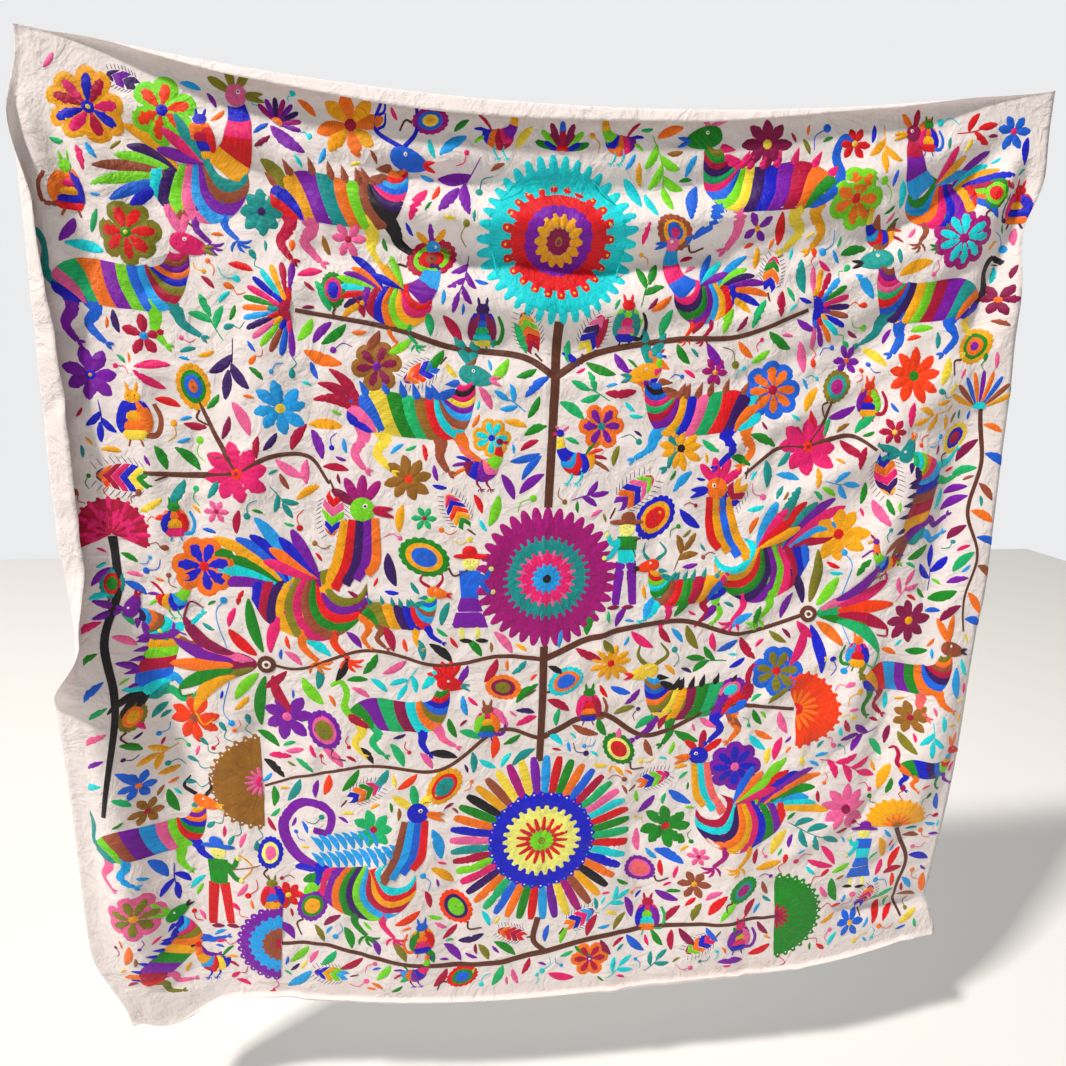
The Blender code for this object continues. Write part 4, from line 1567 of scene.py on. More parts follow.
@dataclass(frozen=True)
class Bird:
    """A striped bird. Its size is about its height without the tail."""

    across: float
    down: float
    size: float
    facing: int
    stripes: str
    neck: str
    head: str
    crest: str
    beak: str
    tail: str
    legs: str
    wing: str = ""
    turn: float = 0.0
    fan: float = 75.0
    tail_heading: float = 168.0
    tail_length: float = 0.62
    curl: str = ""

    def work(self, stitches: StitchWork) -> None:
        """Stitch the tail, legs, body, neck, wing and head, in that order."""
        place = Setting(self.across, self.down, self.size, self.facing, self.turn)
        size = self.size
        for number, letter in enumerate(self.tail):
            share = number / max(1, len(self.tail) - 1)
            angle = self.tail_heading + self.fan * (share - 0.5)
            reach = self.tail_length * (0.86 + 0.14 * sin(5.0 * number))
            stitches.blade(
                place.at(-0.18, 0.02), place.toward(-0.18, 0.02, angle, reach), 0.044 * size, letter,
                bow=0.05 * size * self.facing, fullness=0.6, peak=0.66,
            )
        if self.curl:
            self.work_curl(stitches, place)
        self.work_legs(stitches, place)
        body = curve_through(place.path(((-0.42, 0.08), (-0.2, -0.05), (0.04, -0.06), (0.22, 0.12))), 30)
        share = np.linspace(0.0, 1.0, 30)
        half = size * np.interp(share, (0.0, 0.2, 0.55, 0.85, 1.0), (0.05, 0.16, 0.24, 0.19, 0.1))
        stitches.stripes(body, half, self.stripes, lean=0.04 * self.facing, arch=-0.24, layer=1)
        self.work_neck(stitches, place)
        for number, letter in enumerate(self.wing):
            angle = 112.0 + 44.0 * number / max(1, len(self.wing) - 1)
            stitches.blade(
                place.at(0.0, 0.1), place.toward(0.0, 0.1, angle, 0.36), 0.04 * size, letter, layer=3,
                fullness=0.6, peak=0.6,
            )
        self.work_head(stitches, place)

    def work_curl(self, stitches: StitchWork, place: Setting) -> None:
        """Stitch a tail that curls up over the back, and two rows of plumes along the back."""
        path = (
            (-0.36, 0.08), (-0.56, 0.22), (-0.63, 0.46), (-0.48, 0.63), (-0.3, 0.56), (-0.32, 0.4),
            (-0.42, 0.42),
        )
        stitches.stem(place.path(path), 0.095 * self.size, self.curl[0], taper=0.5)
        for height, count in ((0.24, 8), (0.1, 11)):
            for number in range(count):
                foot = (-0.36 + 0.055 * number, height + 0.008 * number)
                stitches.blade(
                    place.at(*foot), place.toward(*foot, 122.0, 0.155), 0.026 * self.size,
                    self.curl[1 + number % (len(self.curl) - 1)], bow=0.02 * self.size,
                )

    def work_neck(self, stitches: StitchWork, place: Setting) -> None:
        """Stitch the neck: lengthwise threads side by side on a large bird, bands across a small one."""
        if self.size > LARGE_BIRD:
            for number, letter in enumerate(self.neck):
                shift = (number - 0.5 * (len(self.neck) - 1)) * 0.047
                path = (
                    (0.15 + 1.5 * shift, 0.06 + 0.6 * shift), (0.24 + 1.3 * shift, 0.2), (0.29 + shift, 0.47),
                )
                stitches.stem(place.path(path), 0.078 * self.size, letter, layer=2, taper=0.62)
            return
        neck = curve_through(place.path(((0.12, 0.02), (0.25, 0.15), (0.3, 0.32), (0.3, 0.47))), 24)
        half = self.size * np.interp(np.linspace(0.0, 1.0, 24), (0.0, 0.35, 1.0), (0.15, 0.11, 0.06))
        stitches.stripes(neck, half, self.neck, arch=-0.06, layer=2)

    def work_legs(self, stitches: StitchWork, place: Setting) -> None:
        """Stitch two legs, broad at the thigh, with four curled claws each."""
        for x, letter in zip((-0.12, 0.08), self.legs):
            foot = (x + 0.05, -0.45)
            stitches.stem(
                place.path(((x, -0.08), (x - 0.02, -0.24), (x - 0.03, -0.34), foot)), 0.09 * self.size,
                letter, taper=0.38,
            )
            for angle in (-2.0, -34.0, -68.0, -125.0):
                stitches.blade(
                    place.at(*foot), place.toward(*foot, angle, 0.1), 0.014 * self.size, letter,
                    bow=0.02 * self.size * self.facing,
                )

    def work_head(self, stitches: StitchWork, place: Setting) -> None:
        """Stitch the crest, the open beak, the head and the eye."""
        for number, letter in enumerate(self.crest):
            angle = 50.0 + 92.0 * number / max(1, len(self.crest) - 1)
            stitches.blade(
                place.at(0.3, 0.54), place.toward(0.3, 0.54, angle, 0.21), 0.034 * self.size, letter,
                fullness=0.6, peak=0.62,
            )
        for rise in (0.0, -0.055):
            stitches.blade(
                place.at(0.36, 0.525), place.at(0.5, 0.52 + rise), 0.022 * self.size, self.beak, layer=2,
                peak=0.4,
            )
        stitches.ring(place.at(0.31, 0.53), 0.004 * self.size, 0.076 * self.size, self.head, layer=3)
        stitches.dot(place.at(0.33, 0.55), 0.022 * self.size, "0", 4)
        stitches.dot(place.at(0.33, 0.55), 0.012 * self.size, "k", 5)


BIRDS = charted(
    Bird,
    (-0.695, 0.235, 0.255, 1, "tdlpsvbe", "wrhn", "p", "ooo", "o", "wdlblun", "vu", "ehv", 8),
    (-0.335, 0.445, 0.19, 1, "vcnqlwhr", "vsd", "s", "wvw", "o", "nqvltrdw", "qj", "lwn"),
    (0.265, 0.42, 0.19, -1, "nrwsvgdh", "uhs", "p", "rrr", "u", "sldvqnw", "cz", "utv"),
    (0.765, 0.205, 0.215, -1, "rwvnhqsg", "svc", "m", "qcq", "w", "vtwnclqu", "gb", "hws"),
    (-0.515, 1.045, 0.33, 1, "ncdwohbgrvo", "wrdvq", "l", "aaam", "c", "snuwgtv", "qz", "vnqh", 4, 60, 138),
    (0.425, 0.985, 0.31, -1, "unchlvdgrwt", "wuwr", "q", "hhhh", "n", "erevhsc", "lh", "shrw", 0, 60, 132),
    (
        -0.42, 1.735, 0.32, 1, "nhvqgdlscwrt", "bsur", "n", "fjf", "q", "ngl", "gh", "", 0, 34, 186, 0.46,
        "vss",
    ),
    (0.425, 1.615, 0.3, -1, "rvgnhwqdtc", "1tw", "n", "rcr", "q", "lrnvqgstw", "wa", "uqlh", 0, 66, 146),
    (-0.145, 0.135, 0.085, 1, "nqch", "vw", "g", "r", "w", "cnl", "tt"),
    (0.085, 0.135, 0.085, -1, "vhqn", "lw", "r", "n", "w", "cnl", "tt"),
    (-0.175, 0.775, 0.1, 1, "mnvp", "lr", "m", "q", "c", "pnvq", "mm"),
    (0.015, 0.76, 0.105, -1, "wnrs", "nf", "n", "pp", "h", "gzcb", "tt"),
    (0.725, 0.985, 0.09, -1, "rwns", "lq", "v", "c", "w", "cnl", "oo"),
    (-0.815, 1.055, 0.09, 1, "rwns", "lq", "q", "c", "w", "cvl", "jj"),
    (0.655, 0.285, 0.085, -1, "wnrs", "nf", "w", "p", "h", "gzc", "oo"),
    (-0.8, 1.945, 0.095, -1, "nfrs", "wq", "r", "f", "k", "gwc", "nn"),
    (-0.33, 1.985, 0.085, 1, "sqvn", "hl", "q", "c", "n", "gvc", "vv"),
    (0.165, 0.585, 0.08, 1, "wqvn", "hl", "s", "c", "n", "gvc", "qq"),
)


@dataclass(frozen=True)
class Beetle:
    """A small upright creature with folded striped wings and a curved tail."""

    across: float
    down: float
    size: float
    head: str
    wings: str
    belly: str
    tail: str
    side: int = 1

    def work(self, stitches: StitchWork) -> None:
        """Stitch the tail, belly, the two wings, the head and its feelers."""
        place = Setting(self.across, self.down, self.size)
        path = ((0.1, -0.4), (0.42, -0.42), (0.52, -0.1), (0.4, 0.22))
        stitches.stem(
            place.path([(x * self.side, y) for x, y in path]), 0.15 * self.size, self.tail, taper=0.55,
        )
        line = curve_through(place.path(((0.0, -0.52), (0.0, 0.28))), 16)
        half = self.size * 0.36 * np.sin(pi * np.linspace(0.1, 0.86, 16)) ** 0.6
        stitches.stripes(line, half, self.belly, layer=1)
        for number, side in enumerate((-1, 1)):
            stitches.blade(
                place.at(0.06 * side, 0.27), place.at(0.27 * side, -0.38), 0.125 * self.size,
                self.wings[number % len(self.wings)], layer=2, bow=-0.07 * self.size * side, fullness=0.6,
            )
            stitches.blade(
                place.at(0.07 * side, 0.4), place.at(0.12 * side, 0.66), 0.045 * self.size, self.head,
            )
            stitches.stem(
                place.path(((0.1 * side, -0.48), (0.16 * side, -0.66))), 0.05 * self.size, self.tail,
            )
        stitches.ring(
            place.at(0.0, 0.37), 0.006 * self.size, 0.17 * self.size, self.head, layer=3, squash=0.8,
        )
        for side in (-1, 1):
            stitches.dot(place.at(0.07 * side, 0.39), 0.028 * self.size, "k", 4)


BEETLES = charted(
    Beetle,
    (-0.7, 0.165, 0.075, "n", "qr", "wncq", "e", -1),
    (-0.945, 0.255, 0.085, "l", "qn", "rnwhq", "b", -1), (-0.18, 0.49, 0.08, "d", "mm", "ftjun", "g"),
    (0.115, 0.475, 0.08, "r", "ee", "nphl", "k"), (0.73, 0.095, 0.06, "g", "hn", "rwq", "u"),
    (0.955, 0.215, 0.075, "r", "hn", "qnwr", "d", -1), (-0.86, 0.675, 0.095, "w", "nq", "fqwn", "b"),
    (-0.8, 0.885, 0.07, "g", "nr", "hwq", "s"), (0.66, 0.625, 0.075, "z", "vl", "wnrq", "c"),
    (0.065, 1.315, 0.08, "g", "hc", "nqrh", "b"), (-0.165, 1.345, 0.08, "b", "lq", "ugwh", "v"),
    (0.68, 1.195, 0.07, "q", "sn", "wrh", "g", -1), (-0.315, 1.885, 0.08, "u", "gr", "nhqw", "q", -1),
    (0.235, 1.885, 0.085, "c", "nv", "qtlh", "j"), (0.465, 1.945, 0.085, "h", "vp", "nhwv", "v"),
    (-0.655, 1.77, 0.075, "o", "rn", "wuh", "b"),
)


@dataclass(frozen=True)
class Villager:
    """A small dressed figure with a plain stitched face."""

    across: float
    down: float
    size: float
    facing: int
    hat: str
    shirt: str
    lower: str
    skirt: bool = False
    bow: str = ""

    def work(self, stitches: StitchWork) -> None:
        """Stitch the legs or skirt, body, arms, head, face and hat."""
        place = Setting(self.across, self.down, self.size, self.facing)
        size = self.size
        if self.skirt:
            line = curve_through(place.path(((0.0, 0.02), (0.0, -0.32))), 10)
            half = size * np.linspace(0.085, 0.19, 10)
            stitches.stripes(line, half, self.lower * 2)
            for x in (-0.08, 0.08):
                stitches.stem(place.path(((x, -0.31), (x + 0.01, -0.44))), 0.055 * size, "i")
                stitches.blade(
                    place.at(x - 0.02, -0.45), place.at(x + 0.11, -0.46), 0.026 * size, "k", layer=1,
                )
        else:
            for x in (-0.07, 0.08):
                stitches.stem(
                    place.path(((x * 0.7, 0.02), (x, -0.22), (x * 1.2, -0.44))), 0.115 * size, self.lower,
                    taper=0.75,
                )
                stitches.blade(
                    place.at(x - 0.03, -0.46), place.at(x + 0.1, -0.47), 0.026 * size, "m", layer=1,
                )
        line = curve_through(place.path(((0.0, 0.28), (0.0, 0.0))), 8)
        stitches.stripes(line, size * np.linspace(0.105, 0.085, 8), self.shirt, layer=1)
        for reach, rise in ((0.22, 0.06), (0.2, 0.3)):
            path = ((0.07, 0.24), (0.16, 0.5 * (rise + 0.12)), (reach, rise))
            stitches.stem(place.path(path), 0.06 * size, self.shirt[-1], layer=2, taper=0.8)
            stitches.dot(place.at(reach + 0.01, rise), 0.026 * size, "i", 3)
        stitches.ring(place.at(0.01, 0.36), 0.004 * size, 0.082 * size, "i", layer=2)
        for x in (-0.02, 0.045):
            stitches.dot(place.at(x, 0.375), 0.011 * size, "b", 3)
        stitches.stem(place.path(((-0.005, 0.322), (0.035, 0.322))), 0.01 * size, "c", layer=3)
        stitches.blade(
            place.at(-0.16, 0.425), place.at(0.19, 0.425), 0.03 * size, self.hat, layer=3, fullness=0.4,
        )
        stitches.blade(
            place.at(-0.01, 0.41), place.at(0.01, 0.53), 0.075 * size, self.hat, layer=3, fullness=0.4,
        )
        if self.bow:
            path = ((0.22, 0.34), (0.34, 0.2), (0.22, 0.04))
            stitches.stem(place.path(path), 0.018 * size, self.bow)
            stitches.stem(place.path(((0.12, 0.17), (0.42, 0.21))), 0.012 * size, "b")


VILLAGERS = charted(
    Villager,
    (-0.205, 1.055, 0.215, 1, "r", "uu", "v", True), (0.135, 0.985, 0.215, -1, "b", "gt", "v"),
    (-0.775, 1.745, 0.23, 1, "u", "gg", "r", False, "w"), (0.765, 1.745, 0.19, -1, "v", "ut", "u", True),
)


# ---- Small sprigs that fill the ground between the figures ----

@dataclass
class Ground:
    """Which parts of the cloth are stitched, on a fine grid, so that sprigs go where there is room."""

    cell: float = 0.0065
    reach: float = 1.1
    depth: float = 2.2

    def __post_init__(self) -> None:
        """Start with an empty cloth."""
        self.used = np.zeros((int(self.depth / self.cell), int(2.0 * self.reach / self.cell)), dtype=bool)

    def cells(self, places: np.ndarray) -> tuple[np.ndarray, np.ndarray]:
        """The grid cells that hold some places."""
        row = np.clip((places[:, 1] / self.cell).astype(int), 0, self.used.shape[0] - 1)
        column = np.clip(((places[:, 0] + self.reach) / self.cell).astype(int), 0, self.used.shape[1] - 1)
        return row, column

    def mark(self, patches: Sequence[Patch]) -> None:
        """Mark the cells under some patches, at their grid points and halfway between those.

        Args:
            patches: Stitched patches.
        """
        for patch in patches:
            across, down = (
                np.concatenate(
                    (
                        value.ravel(), ((value[1:] + value[:-1]) / 2.0).ravel(),
                        ((value[:, 1:] + value[:, :-1]) / 2.0).ravel(),
                    )
                ) for value in (patch.places[..., 0], patch.places[..., 1])
            )
            self.used[self.cells(np.stack((across, down), axis=1))] = True

    def free(self, places: np.ndarray) -> bool:
        """Whether none of some places is stitched."""
        return not self.used[self.cells(places)].any()


class Sprig(Enum):
    """Kinds of filling."""

    LEAF = "one leaf"
    PAIR = "two leaves in a V"
    THREE = "a stalk with three leaves"
    VINE = "a stalk with two pairs of leaves and one at its end"
    BUD = "a knot on a curled stalk"
    BLOOM = "a small flower"


PLAIN_TOP, PLAIN_BOTTOM = 0.015, 0.012    # margins left plain above and below the stitching
STITCHED_HALF = 0.968                     # how far across the stitching reaches
OPENED_STRIP = 0.04                       # how much further it reaches where the left strip opens out,
OPENED_FROM, OPENED_OVER = 1.35, 0.3      # below this place down, eased in over this length


@dataclass
class Filling:
    """Sprigs set by seeded chance where the ground is free."""

    seed: int = 5
    letters: str = "jjgggllttteesssuuvvmcchhhpppwwwqqqzrrffybond"
    sizes: tuple[tuple[Sprig, float, int], ...] = (
        (Sprig.VINE, 0.165, 6000), (Sprig.THREE, 0.118, 6000), (Sprig.VINE, 0.125, 7000),
        (Sprig.THREE, 0.09, 8000), (Sprig.BLOOM, 0.064, 900), (Sprig.PAIR, 0.074, 7000),
        (Sprig.LEAF, 0.07, 10000), (Sprig.BUD, 0.05, 4000), (Sprig.LEAF, 0.05, 12000),
        (Sprig.BUD, 0.036, 5000), (Sprig.LEAF, 0.034, 12000), (Sprig.LEAF, 0.024, 9000),
    )

    def work(self, stitches: StitchWork, ground: Ground) -> int:
        """Try many places for each kind, from the largest to the smallest.

        Args:
            stitches: Where the patches go.
            ground: The stitched ground, which this marks.

        Returns:
            How many sprigs were set.
        """
        draw = np.random.default_rng(self.seed)
        count = 0
        spine = np.linspace(0.0, 1.0, 7)
        for kind, length, tries in self.sizes:
            across, down = draw.uniform(-1.0, 0.98, tries), draw.uniform(0.06, 2.06, tries)
            headings, letters = draw.uniform(0.0, 360.0, tries), draw.integers(len(self.letters), size=tries)
            lengths, sides = length * draw.uniform(0.85, 1.15, tries), draw.choice((-1, 1), tries)
            for number in range(tries):
                heading = radians(headings[number])
                line = np.stack(
                    (
                        across[number] + lengths[number] * spine * cos(heading) * sides[number],
                        down[number] - lengths[number] * spine * sin(heading) * sides[number],
                    ),
                    axis=1,
                )
                if not (self.inside(line) and ground.free(line)):
                    continue
                place = Setting(
                    across[number], down[number], lengths[number], sides[number], headings[number],
                )
                before = len(stitches.patches)
                self.set_sprig(stitches, place, kind, self.letters[letters[number]])
                spots = np.concatenate([patch.places.reshape(-1, 2) for patch in stitches.patches[before:]])
                if self.inside(spots) and ground.free(spots):
                    ground.mark(stitches.patches[before:])
                    count += 1
                else:
                    del stitches.patches[before:]
        return count

    @staticmethod
    def inside(spots: np.ndarray) -> bool:
        """Whether some places are inside the plain margin of the cloth."""
        across, down = spots[:, 0], spots[:, 1]
        bulge = 1.0 - across ** 2
        kept = (down > TOP_SAG * bulge + PLAIN_TOP) & (down < LENGTH + BOTTOM_SAG * bulge - PLAIN_BOTTOM)
        opened = OPENED_STRIP * ramp(down - OPENED_FROM, OPENED_OVER)
        kept &= (across < STITCHED_HALF) & (across > -STITCHED_HALF - opened)
        return bool(kept.all())

    @staticmethod
    def set_sprig(stitches: StitchWork, place: Setting, kind: Sprig, letter: str) -> None:
        """Stitch one sprig."""
        size = place.size
        if kind is Sprig.LEAF:
            stitches.blade(place.at(0.0, 0.0), place.at(1.0, 0.0), 0.17 * size, letter, bow=0.06 * size)
        elif kind is Sprig.PAIR:
            for side in (-1.0, 1.0):
                stitches.blade(
                    place.at(0.0, 0.04 * side), place.at(0.92, 0.34 * side), 0.13 * size, letter,
                    bow=0.05 * size * side,
                )
        elif kind is Sprig.BUD:
            stitches.stem(place.path(((0.0, -0.16), (0.35, 0.14), (0.8, 0.0))), 0.0024, letter)
            stitches.dot(place.at(0.84, 0.0), 0.15 * size, letter, 1)
        elif kind is Sprig.BLOOM:
            spot = place.at(0.5, 0.0)
            Flower(*spot, 0.46 * size, 6, letter, "f" if letter in "mcdvn" else "c").work(stitches)
        else:
            feet = (0.2, 0.46) if kind is Sprig.VINE else (0.34,)
            leaf = 0.34 if kind is Sprig.VINE else 0.48
            stitches.stem(place.path(((0.0, 0.0), (0.4, 0.04), (0.72, 0.0))), 0.0026, letter)
            stitches.blade(place.at(1.0 - leaf, 0.0), place.at(1.02, 0.0), 0.19 * leaf * size, letter)
            for foot in feet:
                for side in (-1.0, 1.0):
                    start = foot + 0.07 * side
                    stitches.blade(
                        place.at(start, 0.03), place.at(start + 0.74 * leaf, 0.03 + 0.72 * leaf * side),
                        0.19 * leaf * size, letter, bow=0.04 * size * side,
                    )


# ---- The back of the work ----

@dataclass
class ReverseWork:
    """The outline that this economical satin stitch leaves on the back: short stitches along each rim."""

    name: str = "stitch_reverse"
    width: float = 2.4 * MM
    near: float = -0.4 * MM
    far: float = -1.0 * MM
    points: int = 12

    def build(self, works: Sequence[StitchWork], sheet: ClothSheet) -> bpy.types.Object:
        """Make one ribbon round each patch that lies on the cloth.

        Args:
            works: The stitched families.
            sheet: The sheet.

        Returns:
            One object that faces back.
        """
        patches = [patch for work in works for patch in work.patches if patch.layer == 0]
        outlines = np.stack([self.outline(patch.places) for patch in patches])
        middle = outlines.mean(axis=1, keepdims=True)
        inwards = middle - outlines
        reach = np.maximum(np.linalg.norm(inwards, axis=2, keepdims=True), 1e-6)
        inwards = inwards / reach * np.minimum(self.width, 0.8 * reach)
        step = np.array((0.0, 0.5, 1.0))
        places = outlines[:, :, None, :] + inwards[:, :, None, :] * step[:, None]
        lift = np.broadcast_to(np.array((self.near, self.far, self.near)), places.shape[:3])
        count = places.shape[1] * 3
        starts = np.arange(len(patches))[:, None, None] * count
        quads = (quad_grid(places.shape[1], 3)[None] + starts).reshape(-1, 4)
        first = places[:, 1:, :-1] - places[:, :-1, :-1]
        second = places[:, :-1, 1:] - places[:, :-1, :-1]
        turned = (first[..., 0] * second[..., 1] - first[..., 1] * second[..., 0]).sum(axis=(1, 2)) < 0.0
        quads = quads.reshape(len(patches), -1, 4)
        quads[turned] = quads[turned][..., ::-1]
        colours = np.repeat([patch.colour for patch in patches], count, axis=0)
        flat = places.reshape(-1, 2)
        return coloured(
            make_mesh(self.name, sheet.carry(flat, lift.ravel()), quads.reshape(-1, 4), flat), colours,
        )

    def outline(self, places: np.ndarray) -> np.ndarray:
        """The rim of a patch as a closed run of evenly spaced points: the outer circle of a whole ring."""
        rim = np.concatenate((places[:, 0], places[-1, 1:], places[-2::-1, -1], places[0, -2::-1]))
        if np.allclose(places[:, 0], places[:, -1]):
            rim = places[-1]
        along = travelled(rim)
        return sampled(np.linspace(0.0, along[-1], self.points + 1), along, rim)


# ---- Finishes ----

def node(
    tree: bpy.types.NodeTree, kind: str, settings: dict[str, object] | None = None,
    links: dict[str, bpy.types.NodeSocket] | None = None,
) -> bpy.types.Node:
    """Add one node with its settings and links.

    Args:
        tree: The material's node tree.
        kind: The node's type name, without "ShaderNode" before it.
        settings: Node attributes by name, and input values by socket name.
        links: Output sockets by the name of the input that they feed.

    Returns:
        The node.
    """
    made = tree.nodes.new("ShaderNode" + kind)
    for name, value in (settings or {}).items():
        if hasattr(made, name):
            setattr(made, name, value)
        else:
            made.inputs[name].default_value = value
    for name, output in (links or {}).items():
        tree.links.new(output, made.inputs[name])
    return made


def empty_material(name: str) -> bpy.types.Material:
    """Start a material whose node tree is empty.

    Args:
        name: The material's name.

    Returns:
        The material.
    """
    material = bpy.data.materials.new(name)
    material.use_nodes = True
    material.node_tree.nodes.clear()
    return material


def wrinkled(
    tree: bpy.types.NodeTree, place: bpy.types.NodeSocket, normal: bpy.types.NodeSocket,
) -> bpy.types.NodeSocket:
    """Add the fine wrinkles that run through cloth and stitches alike.

    Args:
        tree: The material's node tree.
        place: Object coordinates.
        normal: The normal that they are added to.

    Returns:
        The wrinkled normal: ridges where distorted noise crosses its middle, so that they run as thin
        creases, and softer hollows between them from a slower noise.
    """
    creases = node(
        tree, "TexNoise", {"Scale": 11.0, "Detail": 4.0, "Roughness": 0.6, "Distortion": 0.7},
        {"Vector": place},
    )
    offset = node(tree, "Math", {"operation": "SUBTRACT"})
    offset.inputs[1].default_value = 0.5
    tree.links.new(creases.outputs["Fac"], offset.inputs[0])
    ridge = node(tree, "Math", {"operation": "ABSOLUTE"})
    tree.links.new(offset.outputs[0], ridge.inputs[0])
    sharp = node(
        tree, "MapRange", {"From Min": 0.0, "From Max": 0.12, "To Min": 1.0, "To Max": 0.0},
        {"Value": ridge.outputs[0]},
    )
    first = node(
        tree, "Bump", {"Strength": 0.55, "Distance": 3.0 * MM},
        {"Height": sharp.outputs["Result"], "Normal": normal},
    )
    hollows = node(
        tree, "TexNoise", {"Scale": 30.0, "Detail": 4.0, "Roughness": 0.6, "Distortion": 0.4},
        {"Vector": place},
    )
    second = node(
        tree, "Bump", {"Strength": 0.8, "Distance": 6.0 * MM},
        {"Height": hollows.outputs["Fac"], "Normal": first.outputs["Normal"]},
    )
    return second.outputs["Normal"]


@dataclass(frozen=True)
class CottonManta:
    """Unbleached plain-weave cotton: matt, slightly warm, faintly mottled and finely woven."""

    name: str = "Unbleached cotton manta"
    light: str = "#F0E8E5"
    dark: str = "#E4DAD5"
    roughness: float = 0.92
    sheen: float = 0.12
    weave: float = 1.9 * MM      # drawn coarser than its 0.6 mm, so that it is not lost

    def make(self) -> bpy.types.Material:
        """Make the material.

        Returns:
            The cotton: mottling from broad noise gives it its hand-washed look, and bump from two crossed
            waves and small noise gives it its weave and its fine wrinkles.
        """
        material = empty_material(self.name)
        tree = material.node_tree
        place = node(tree, "TexCoord").outputs["Object"]
        mottle = node(tree, "TexNoise", {"Scale": 9.0, "Detail": 6.0, "Roughness": 0.6}, {"Vector": place})
        tone = node(tree, "Mix", {"data_type": "RGBA"}, {"Factor": mottle.outputs["Fac"]})
        for socket, colour in ((MIX_COLOUR_A, self.dark), (MIX_COLOUR_B, self.light)):
            tone.inputs[socket].default_value = (*linear(colour), 1.0)
        pitch = 1.0 / (self.weave * 3.0)
        warp = node(
            tree, "TexWave", {"bands_direction": "X", "Scale": pitch, "Distortion": 0.6, "Detail": 1.0},
            {"Vector": place},
        )
        weft = node(
            tree, "TexWave", {"bands_direction": "Z", "Scale": pitch, "Distortion": 0.6, "Detail": 1.0},
            {"Vector": place},
        )
        woven = node(tree, "Math", {"operation": "ADD"})
        tree.links.new(warp.outputs["Fac"], woven.inputs[0])
        tree.links.new(weft.outputs["Fac"], woven.inputs[1])
        fine = node(tree, "Bump", {"Strength": 0.12, "Distance": 0.25 * MM}, {"Height": woven.outputs[0]})
        shader = node(
            tree, "BsdfPrincipled",
            {
                "Roughness": self.roughness, "IOR": 1.46, "Specular IOR Level": 0.25,
                "Sheen Weight": self.sheen, "Sheen Roughness": 0.5,
            },
            {
                "Base Color": tone.outputs[MIX_COLOUR_OUT],
                "Normal": wrinkled(tree, place, fine.outputs["Normal"]),
            },
        )
        node(tree, "OutputMaterial", links={"Surface": shader.outputs[0]})
        return material


@dataclass(frozen=True)
class StrandedCotton:
    """Stranded mercerised embroidery cotton in satin stitch: strong colour with a soft gloss."""

    name: str = "Stranded embroidery cotton"
    roughness: float = 0.55
    sheen: float = 0.15
    strand: float = 2.2 * MM     # drawn coarser than its 0.7 mm, so that it is not lost

    def make(self) -> bpy.types.Material:
        """Make the material.

        Returns:
            The thread: its colour comes from each patch, streaks along the strands vary it, and bump from
            waves across them gives the look of parallel stitches.
        """
        material = empty_material(self.name)
        tree = material.node_tree
        dye = node(tree, "Attribute", {"attribute_name": "thread_colour"})
        place = node(tree, "UVMap", {"uv_map": "UVMap"}).outputs["UV"]
        stretch = node(tree, "Mapping", {"Scale": (1.0 / self.strand, 22.0, 1.0)}, {"Vector": place})
        streak = node(
            tree, "TexNoise", {"Scale": 1.0, "Detail": 2.0, "Roughness": 0.6},
            {"Vector": stretch.outputs["Vector"]},
        )
        level = node(
            tree, "MapRange", {"From Min": 0.25, "From Max": 0.75, "To Min": 0.72, "To Max": 1.24},
            {"Value": streak.outputs["Fac"]},
        )
        shade = node(
            tree, "VectorMath", {"operation": "SCALE"},
            {"Vector": dye.outputs["Color"], "Scale": level.outputs["Result"]},
        )
        strands = node(
            tree, "TexWave",
            {"bands_direction": "X", "Scale": 1.0 / (3.0 * self.strand), "Distortion": 1.2, "Detail": 1.0},
            {"Vector": place},
        )
        bump = node(tree, "Bump", {"Strength": 0.5, "Distance": 0.5 * MM}, {"Height": strands.outputs["Fac"]})
        hung = node(tree, "TexCoord").outputs["Object"]
        shader = node(
            tree, "BsdfPrincipled",
            {
                "Roughness": self.roughness, "IOR": 1.5, "Specular IOR Level": 0.3,
                "Sheen Weight": self.sheen, "Sheen Roughness": 0.4,
            },
            {"Base Color": shade.outputs["Vector"], "Normal": wrinkled(tree, hung, bump.outputs["Normal"])},
        )
        node(tree, "OutputMaterial", links={"Surface": shader.outputs[0]})
        return material


@dataclass(frozen=True)
class PalePaint:
    """Plain matt paint for the floor."""

    name: str = "Pale matt paint"
    colour: str = "#DCDAD5"

    def make(self) -> bpy.types.Material:
        """Make the material: one even pale colour."""
        material = bpy.data.materials.new(self.name)
        material.use_nodes = True
        shader = material.node_tree.nodes["Principled BSDF"]
        shader.inputs["Base Color"].default_value = (*linear(self.colour), 1.0)
        shader.inputs["Roughness"].default_value = 0.9
        return material


# ---- Studio ----

def standing(right: np.ndarray, up: np.ndarray, back: np.ndarray, place: Sequence[float]) -> Matrix:
    """The matrix of a camera or light from its own three directions and its place."""
    return Matrix([(right[row], up[row], back[row], place[row]) for row in range(3)] + [(0.0, 0.0, 0.0, 1.0)])


